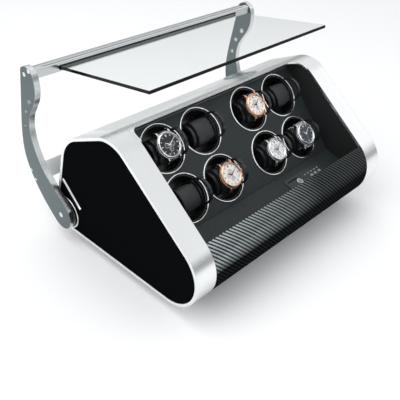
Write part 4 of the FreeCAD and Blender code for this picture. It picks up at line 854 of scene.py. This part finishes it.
def watch_case(radius, chrono):
    """Case, bezel, lugs, crown and push-pieces."""
    r = radius
    case = Mesh()
    case.lathe([
        (AXIS_RADIUS, BACK), (r - 5.0, BACK), (r - 4.4, BACK + 0.3), (r - 2.0, BACK + 0.9),
        (r - 0.5, BACK + 2.2), (r, BACK + 3.6), (r, BACK + 6.6), (r - 0.35, BACK + 7.3),
        (r - 1.0, BACK + 7.5), (r - 1.05, BACK + 8.4), (r - 1.6, BACK + 9.4),
        (r - 2.6, BEZEL_TOP), (r - 3.3, BEZEL_TOP - 0.1), (r - 3.5, BEZEL_TOP - 0.5),
        (r - 4.3, DIAL_LEVEL + 0.1), (r - 4.5, DIAL_LEVEL - 0.1), (AXIS_RADIUS, DIAL_LEVEL - 0.12),
    ], 96)
    lug = [(13.0, 14.6), (13.0, 19.6), (18.5, 19.6), (21.4, 18.3), (23.4, 15.6), (24.2, 12.4),
           (23.6, 11.4), (22.2, 11.8), (20.6, 13.4), (18.0, 14.6)]
    shift = r - 20.6
    lug = [(u + shift if u > 14.0 else u, n) for u, n in lug]
    sideways = Matrix(((0, 0, 1, 0), (1, 0, 0, 0), (0, 1, 0, 0), (0, 0, 0, 1)))
    for side_x in (-1, 1):
        for side_u in (-1, 1):
            outline = [(side_u * u, n) for u, n in lug]
            low, high = sorted((side_x * 9.9, side_x * 12.6))
            case.prism(outline, low, high, sideways, 0.45)
    turn = Matrix.Rotation(math.radians(90.0), 4, "Y")
    middle = BACK + 5.0
    crown, root = circle(2.75, 36), circle(2.35, 36)
    knurl = [(crown if k % 2 else root)[k] for k in range(len(crown))]
    case.prism(knurl, r + 0.7, r + 3.3, Matrix.Translation((0, 0, middle)) @ turn)
    stem = circle(1.2, 16)
    case.prism(stem, r - 1.0, r + 0.9, Matrix.Translation((0, 0, middle)) @ turn)
    if chrono:
        for angle in (-24.0, 24.0):
            spin = Matrix.Rotation(math.radians(angle), 4, "Z")
            push = Matrix.Translation((0, 0, middle)) @ spin @ turn
            case.prism(stem, r - 1.0, r + 1.4, push)
            case.prism(circle(1.7, 16), r + 1.2, r + 2.9, push, 0.3)
    return case


def bar_outline(width, near, far, tip=1.0):
    """A hand or an hour mark pointing along +y."""
    return [(-width / 2, near), (width / 2, near), (width / 2 * tip, far), (-width / 2 * tip, far)]


def dial_marks(radius, small_dials):
    """Raised hour marks, the minute track and the rims of the small dials."""
    marks = Mesh()
    edge = radius - MARK_INSET
    for hour in range(12):
        spin = Matrix.Rotation(-math.pi / 6 * hour, 4, "Z")
        shifts = (-0.75, 0.75) if hour == 0 else (0.0,)
        for shift in shifts:
            near = edge - (4.0 if hour % 3 == 0 else 3.2)
            outline = [(x + shift, y) for x, y in bar_outline(1.05, near, edge - 1.0, 0.8)]
            marks.prism(outline, DIAL_LEVEL + 0.02, DIAL_LEVEL + 0.35, spin, 0.08, 1)
    for minute in range(60):
        spin = Matrix.Rotation(-math.pi / 30 * minute, 4, "Z")
        length = 0.75 if minute % 5 == 0 else 0.5
        outline = bar_outline(0.16, edge - length - 0.1, edge - 0.1)
        marks.prism(outline, DIAL_LEVEL + 0.01, DIAL_LEVEL + 0.06, spin)
    for x, y, size in small_dials:
        rim = ring_profile(size - 0.3, size, DIAL_LEVEL, DIAL_LEVEL + 0.14, 0.05)
        marks.lathe(rim, 40, (x, y, 0.0))
        for tick in range(12):
            angle = math.pi / 6 * tick
            spin = Matrix.Translation((x, y, 0.0)) @ Matrix.Rotation(angle, 4, "Z")
            outline = bar_outline(0.16, size - 1.1, size - 0.5)
            marks.prism(outline, DIAL_LEVEL + 0.05, DIAL_LEVEL + 0.12, spin)
        spin = Matrix.Translation((x, y, 0.0)) @ Matrix.Rotation(0.7 + 0.4 * x, 4, "Z")
        marks.prism(bar_outline(0.35, -0.6, size - 1.0, 0.4), DIAL_LEVEL + 0.2,
                    DIAL_LEVEL + 0.32, spin)
    return marks


def watch_hands(radius, hour_angle, minute_angle, second_angle):
    """Hour, minute and second hands on their post."""
    hands = Mesh()
    edge = radius - MARK_INSET
    settings = ((hour_angle, 1.7, edge * 0.55, 0.55), (minute_angle, 1.35, edge * 0.84, 0.80))
    for angle, width, reach, level in settings:
        outline = [(-width * 0.3, -2.4), (width * 0.3, -2.4), (width / 2, reach * 0.25),
                   (0.12, reach), (-0.12, reach), (-width / 2, reach * 0.25)]
        spin = Matrix.Rotation(-math.radians(angle), 4, "Z")
        hands.prism(outline, DIAL_LEVEL + level, DIAL_LEVEL + level + 0.16, spin, 0.05, 1)
    spin = Matrix.Rotation(-math.radians(second_angle), 4, "Z")
    hands.prism(bar_outline(0.26, -4.2, edge * 0.92, 0.5), DIAL_LEVEL + 1.0, DIAL_LEVEL + 1.1, spin)
    hands.lathe([(AXIS_RADIUS, DIAL_LEVEL + 0.1), (0.85, DIAL_LEVEL + 0.1), (0.85, DIAL_LEVEL + 1.15),
                 (0.6, DIAL_LEVEL + 1.3), (AXIS_RADIUS, DIAL_LEVEL + 1.32)], 24)
    return hands


def strap_path(tree, radius, side):
    """A strap's middle line from between the lugs, down over the cushion's end."""
    skin = girth(tree, 0.0, 18.0, -38.0, 9, 1.5)
    start = [Vector((0.0, radius - 0.6, 15.6)), Vector((0.0, radius + 1.0, 14.2))]
    points = start + [p for p in skin if p.z < 9.0]
    path = smooth_path(points, 5)
    if side < 0:
        path = [Vector((0.0, -p.y, p.z)) for p in path]
    return path


def leather_strap(tree, radius):
    """Two padded strap halves with their stitches."""
    strap, thread = Mesh(), Mesh()
    section = [(-1.0, -0.45), (-0.96, 0.25), (-0.80, 0.50), (-0.62, 0.62), (0.0, 0.95),
               (0.62, 0.62), (0.80, 0.50), (0.96, 0.25), (1.0, -0.45), (0.0, -0.60)]
    for side in (-1, 1):
        path = strap_path(tree, radius, side)
        count = len(path)
        widths = [STRAP_HALF - 1.1 * i / (count - 1) for i in range(count)]
        thick = [2.0 - 0.7 * min(1.0, 2.0 * i / (count - 1)) for i in range(count)]
        across = Vector((side, 0.0, 0.0))
        strap.sweep(path, section, side=across, sizes=list(zip(widths, thick)))
        for centre, direction in spaced(path, 2.7)[1:]:
            out = direction.cross(across).normalized()
            for edge in (-1, 1):
                spot = centre + across * (edge * (STRAP_HALF - 2.2)) + out * 0.86
                add_stitch(thread, spot, direction, out, 1.6, 0.22)
    return strap, thread


LINK_PITCH = 3.1
LINK_COLUMNS = ((-9.4, -5.0), (-4.8, 4.8), (5.0, 9.4))


def bracelet(tree, radius):
    """Two runs of three-piece links, the middle pieces offset along the band and raised a little."""
    links = Mesh()
    across = Vector((1.0, 0.0, 0.0))
    middle_column = LINK_COLUMNS[1]
    for side in (-1, 1):
        for centre, direction in spaced(strap_path(tree, radius, side), LINK_PITCH):
            up = direction.cross(across * side).normalized()
            turn = Matrix((across, direction, up)).transposed().to_4x4()
            place = Matrix.Translation(centre) @ turn
            for column in LINK_COLUMNS:
                low, high = column
                shift, rise = (1.2, 0.15) if column == middle_column else (0.0, 0.0)
                near, far = -1.3 + shift, 1.5 + shift
                outline = [(low, near), (high, near), (high, far), (low, far)]
                links.prism(outline, -1.1, 1.2 + rise, place, 0.4)
    return links


def make_watch(tree, name, radius, case_look, dial, marks_look, hands_look, small_dials, times,
               steel_band=False):
    """One wristwatch, riding on its rotor in place of the CAD's plain watch."""
    place, body, slot = holder(name), f"rotor_{name}", "watch_case"
    chrono = bool(small_dials)
    case = watch_case(radius, chrono).finish(f"watch_case_{name}", place, case_look, body, slot)
    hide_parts(f"watch_{name}")
    face = Mesh()
    edge = radius - DIAL_INSET
    face.lathe([(AXIS_RADIUS, DIAL_LEVEL - 0.1), (edge, DIAL_LEVEL - 0.1), (edge, DIAL_LEVEL),
                (AXIS_RADIUS, DIAL_LEVEL + 0.001)], 96)
    face.finish(f"watch_dial_{name}", place, dial_look(f"dial_{name}", dial, place), body, slot)
    if chrono:
        small = Mesh()
        for x, y, size in small_dials:
            small.lathe([(AXIS_RADIUS, DIAL_LEVEL), (size, DIAL_LEVEL), (size, DIAL_LEVEL + 0.03),
                         (AXIS_RADIUS, DIAL_LEVEL + 0.035)], 40, (x, y, 0.0))
        tone = tuple(0.72 * c + 0.004 for c in dial)
        look = dial_look(f"small_dial_{name}", tone, place, 0.1)
        small.finish(f"watch_small_dials_{name}", place, look, body, slot)
    dial_marks(radius, small_dials).finish(
        f"watch_marks_{name}", place, marks_look, body, slot)
    watch_hands(radius, *times).finish(f"watch_hands_{name}", place, hands_look, body, slot)
    dome = Mesh()
    rim = radius - 3.45
    dome.lathe([(AXIS_RADIUS, BEZEL_TOP - 0.7), (rim, BEZEL_TOP - 0.9), (rim, BEZEL_TOP - 0.15),
                (rim * 0.8, BEZEL_TOP + 0.15), (rim * 0.4, BEZEL_TOP + 0.32),
                (AXIS_RADIUS, BEZEL_TOP + 0.38)], 96)
    dome.finish(f"watch_crystal_{name}", place, "crystal", body, slot)
    if steel_band:
        bracelet(tree, radius).finish(f"watch_band_{name}", place, case_look, body, slot)
        return
    strap, thread = leather_strap(tree, radius)
    strap.finish(f"watch_strap_{name}", place, "strap", body, slot, 60.0, 1)
    thread.finish(f"watch_thread_{name}", place, "thread", body, slot, 60.0)


SIDE_BY_SIDE = ((-6.0, 0.0, 3.7), (6.0, 0.0, 3.7), (0.0, -6.4, 3.7))
STACKED = ((0.0, 6.2, 3.6), (0.0, -6.2, 3.6), (-6.2, 0.0, 3.2))
PALE_ROSE = (0.97, 0.84, 0.79)


def make_watches(tree):
    """The five watches, upper row then lower row."""
    make_watch(tree, "upper_1", 21.5, "watch_steel", (0.008, 0.008, 0.010), "white_mark",
               "white_mark", SIDE_BY_SIDE, (305.0, 58.0, 200.0))
    make_watch(tree, "upper_3", 20.5, "rose_gold", PALE_ROSE, "dark_mark", "dark_mark",
               STACKED, (300.0, 50.0, 180.0))
    make_watch(tree, "lower_2", 21.5, "rose_gold", PALE_ROSE, "dark_mark", "dark_mark",
               STACKED, (305.0, 60.0, 150.0))
    make_watch(tree, "lower_3", 20.5, "watch_steel", (0.97, 0.88, 0.92), "dark_mark",
               "dark_mark", STACKED, (300.0, 55.0, 215.0))
    make_watch(tree, "lower_4", 21.0, "watch_steel", (0.025, 0.032, 0.055), "white_mark",
               "white_mark", (), (310.0, 52.0, 190.0), steel_band=True)


# ---------------------------------------------------------------------------------------------
# Small parts of the box
# ---------------------------------------------------------------------------------------------


SEAM_PITCH = 4.0
SEAM_LEVEL = 40.7
SEAM_HALF_LENGTH = 192.0


def make_panel_stitching():
    """The row of stitches across the top of the leather panel, just under the cover's edge."""
    thread = Mesh()
    for i in range(int(2 * SEAM_HALF_LENGTH / SEAM_PITCH)):
        spot = Vector((SEAM_PITCH * (i + 0.5) - SEAM_HALF_LENGTH, SEAM_LEVEL, 0.05))
        add_stitch(thread, spot, Vector((1, 0, 0)), Vector((0, 0, 1)), 2.7, 0.55)
    thread.finish("panel_stitching", PANEL, "seam", "box", "grey_leather", 60.0)


FASCIA_TOP = 1.24
PRINT_HEIGHT = 0.08
BUTTON_PLACE = (80.0, -27.0, 0.0)


def make_control_details():
    """Printed marks of the control fascia and the button's collar, in the ledge's frame."""
    marks = Mesh()
    outlines = [
        rounded_box(100.0 + 9.0 * column, -22.0 - 14.0 * row, 5.0, 2.2, 0.8)
        for row in range(2) for column in range(5)
    ]
    outlines += [rounded_box(112.0 + 11.0 * column, -29.0, 7.0, 4.6, 1.2) for column in range(3)]
    for outline in outlines:
        marks.prism(outline, FASCIA_TOP, FASCIA_TOP + PRINT_HEIGHT)
    marks.finish("control_marks", LEDGE, "button", "box", "control_fascia", 60.0)
    collar = Mesh()
    collar.lathe(ring_profile(4.35, 5.6, 1.2, 1.55, 0.12), 48, BUTTON_PLACE)
    collar.finish("button_collar", LEDGE, "chrome", "box", "control_fascia", 50.0)


def rounded_box(x, y, width, height, radius):
    """A rounded rectangle about a centre."""
    a, b = width / 2 - radius, height / 2 - radius
    points = []
    for cx, cy, start in ((a, b, 0.0), (-a, b, 90.0), (-a, -b, 180.0), (a, -b, 270.0)):
        points += arc((x + cx, y + cy), radius, start, start + 90.0, 5)
    return points


# ---------------------------------------------------------------------------------------------
# Floor, light and camera
# ---------------------------------------------------------------------------------------------


FLOOR_HALF_WIDTH = 9000.0
FLOOR_FADE = (1800.0, 4200.0)


def make_floor():
    """A plain pale floor, far wider than the view and greyer far away, where metal mirrors it."""
    floor = Mesh()
    half = FLOOR_HALF_WIDTH
    floor.bm.faces.new([floor.bm.verts.new(p) for p in (
        (-half, -half, 0.0), (half, -half, 0.0), (half, half, 0.0), (-half, half, 0.0))])
    mesh = bpy.data.meshes.new("studio_floor")
    for vert in floor.bm.verts:
        vert.co *= MM
    floor.bm.to_mesh(mesh)
    floor.bm.free()
    look = Look("pale_floor", Roughness=0.75, Specular_IOR_Level=0.15)
    clouds = look.noise(look.coords(), 0.002, 2.0)
    near = look.mix(clouds, (0.955, 0.96, 0.962), (0.975, 0.98, 0.982))
    distance = look.node("VectorMath", look.coords(), None, operation="LENGTH", output=1)
    far = look.between(distance, *FLOOR_FADE)
    look.set(Base_Color=look.mix(far, near, (0.30, 0.34, 0.34)))
    mesh.materials.append(look.material)
    piece = bpy.data.objects.new("studio_floor", mesh)
    bpy.context.scene.collection.objects.link(piece)


def area_light(name, place, target, size, power):
    """A soft rectangular light aimed at a point, lengths in metres."""
    light = bpy.data.lights.new(name, "AREA")
    light.shape = "RECTANGLE"
    light.size, light.size_y = size
    light.energy = power
    lamp = bpy.data.objects.new(name, light)
    bpy.context.scene.collection.objects.link(lamp)
    lamp.location = place
    aim = Vector(target) - Vector(place)
    lamp.rotation_mode = "QUATERNION"
    lamp.rotation_quaternion = aim.to_track_quat("-Z", "Y")


# The surround's tone by the height a ray points to, from level (0) to straight up (1).
SKY_TONES = ((0.0, 0.48), (0.12, 0.22), (0.28, 0.45), (0.47, 0.86), (0.8, 0.75), (1.0, 0.78))
SKY_STRENGTH = 1.1
LIGHT_TARGET = (0.0, 0.0, 0.12)
# Each light: its name, its place and size in metres, and its power in watts.
LIGHTS = (
    ("top_light", (-0.5, 0.3, 1.9), (1.8, 1.8), 14.0),
    ("front_strip", (-0.9, -1.5, 0.9), (0.35, 1.4), 4.0),
    ("left_fill", (-1.9, 0.3, 0.8), (1.2, 1.2), 3.0),
    ("right_fill", (1.7, -0.9, 0.9), (1.0, 1.2), 1.0),
)


def make_light():
    """A pale studio: a surround that is darker low down, and four soft area lights."""
    world = bpy.data.worlds.new("studio")
    bpy.context.scene.world = world
    world.use_nodes = True
    tree = world.node_tree
    tree.nodes.clear()
    spot = tree.nodes.new("ShaderNodeTexCoord")
    split = tree.nodes.new("ShaderNodeSeparateXYZ")
    ramp = tree.nodes.new("ShaderNodeValToRGB")
    back = tree.nodes.new("ShaderNodeBackground")
    end = tree.nodes.new("ShaderNodeOutputWorld")
    tree.links.new(spot.outputs["Generated"], split.inputs[0])
    tree.links.new(split.outputs[2], ramp.inputs[0])
    tree.links.new(ramp.outputs[0], back.inputs["Color"])
    tree.links.new(back.outputs[0], end.inputs["Surface"])
    elements = ramp.color_ramp.elements
    while len(elements) < len(SKY_TONES):
        elements.new(0.5)
    for element, (place, tone) in zip(elements, SKY_TONES):
        element.position = place
        element.color = (tone, tone * 1.01, tone * 1.02, 1.0)
    back.inputs["Strength"].default_value = SKY_STRENGTH
    for name, place, size, power in LIGHTS:
        area_light(name, place, LIGHT_TARGET, size, power)


CAMERA_PLACE = (-0.6608, -0.5755, 0.6337)
CAMERA_AZIMUTH = -47.65
CAMERA_ELEVATION = 35.22
CAMERA_ROLL = 2.89
CAMERA_LENS = 53.0


def make_camera():
    """The camera at the photograph's viewing angle."""
    data = bpy.data.cameras.new("camera")
    data.lens = CAMERA_LENS
    camera = bpy.data.objects.new("camera", data)
    bpy.context.scene.collection.objects.link(camera)
    azimuth, elevation = math.radians(CAMERA_AZIMUTH), math.radians(CAMERA_ELEVATION)
    look = Vector((
        -math.sin(azimuth) * math.cos(elevation),
        math.cos(azimuth) * math.cos(elevation),
        -math.sin(elevation),
    ))
    camera.location = CAMERA_PLACE
    camera.rotation_mode = "QUATERNION"
    upright = look.to_track_quat("-Z", "Y")
    roll = Matrix.Rotation(math.radians(CAMERA_ROLL), 3, "Z").to_quaternion()
    camera.rotation_quaternion = upright @ roll
    bpy.context.scene.camera = camera


bpy.context.scene.view_settings.view_transform = "Standard"
dress_cad_nodes()
cushion_skin = make_cushions()
make_watches(cushion_skin)
make_panel_stitching()
make_control_details()
make_floor()
make_light()
make_camera()
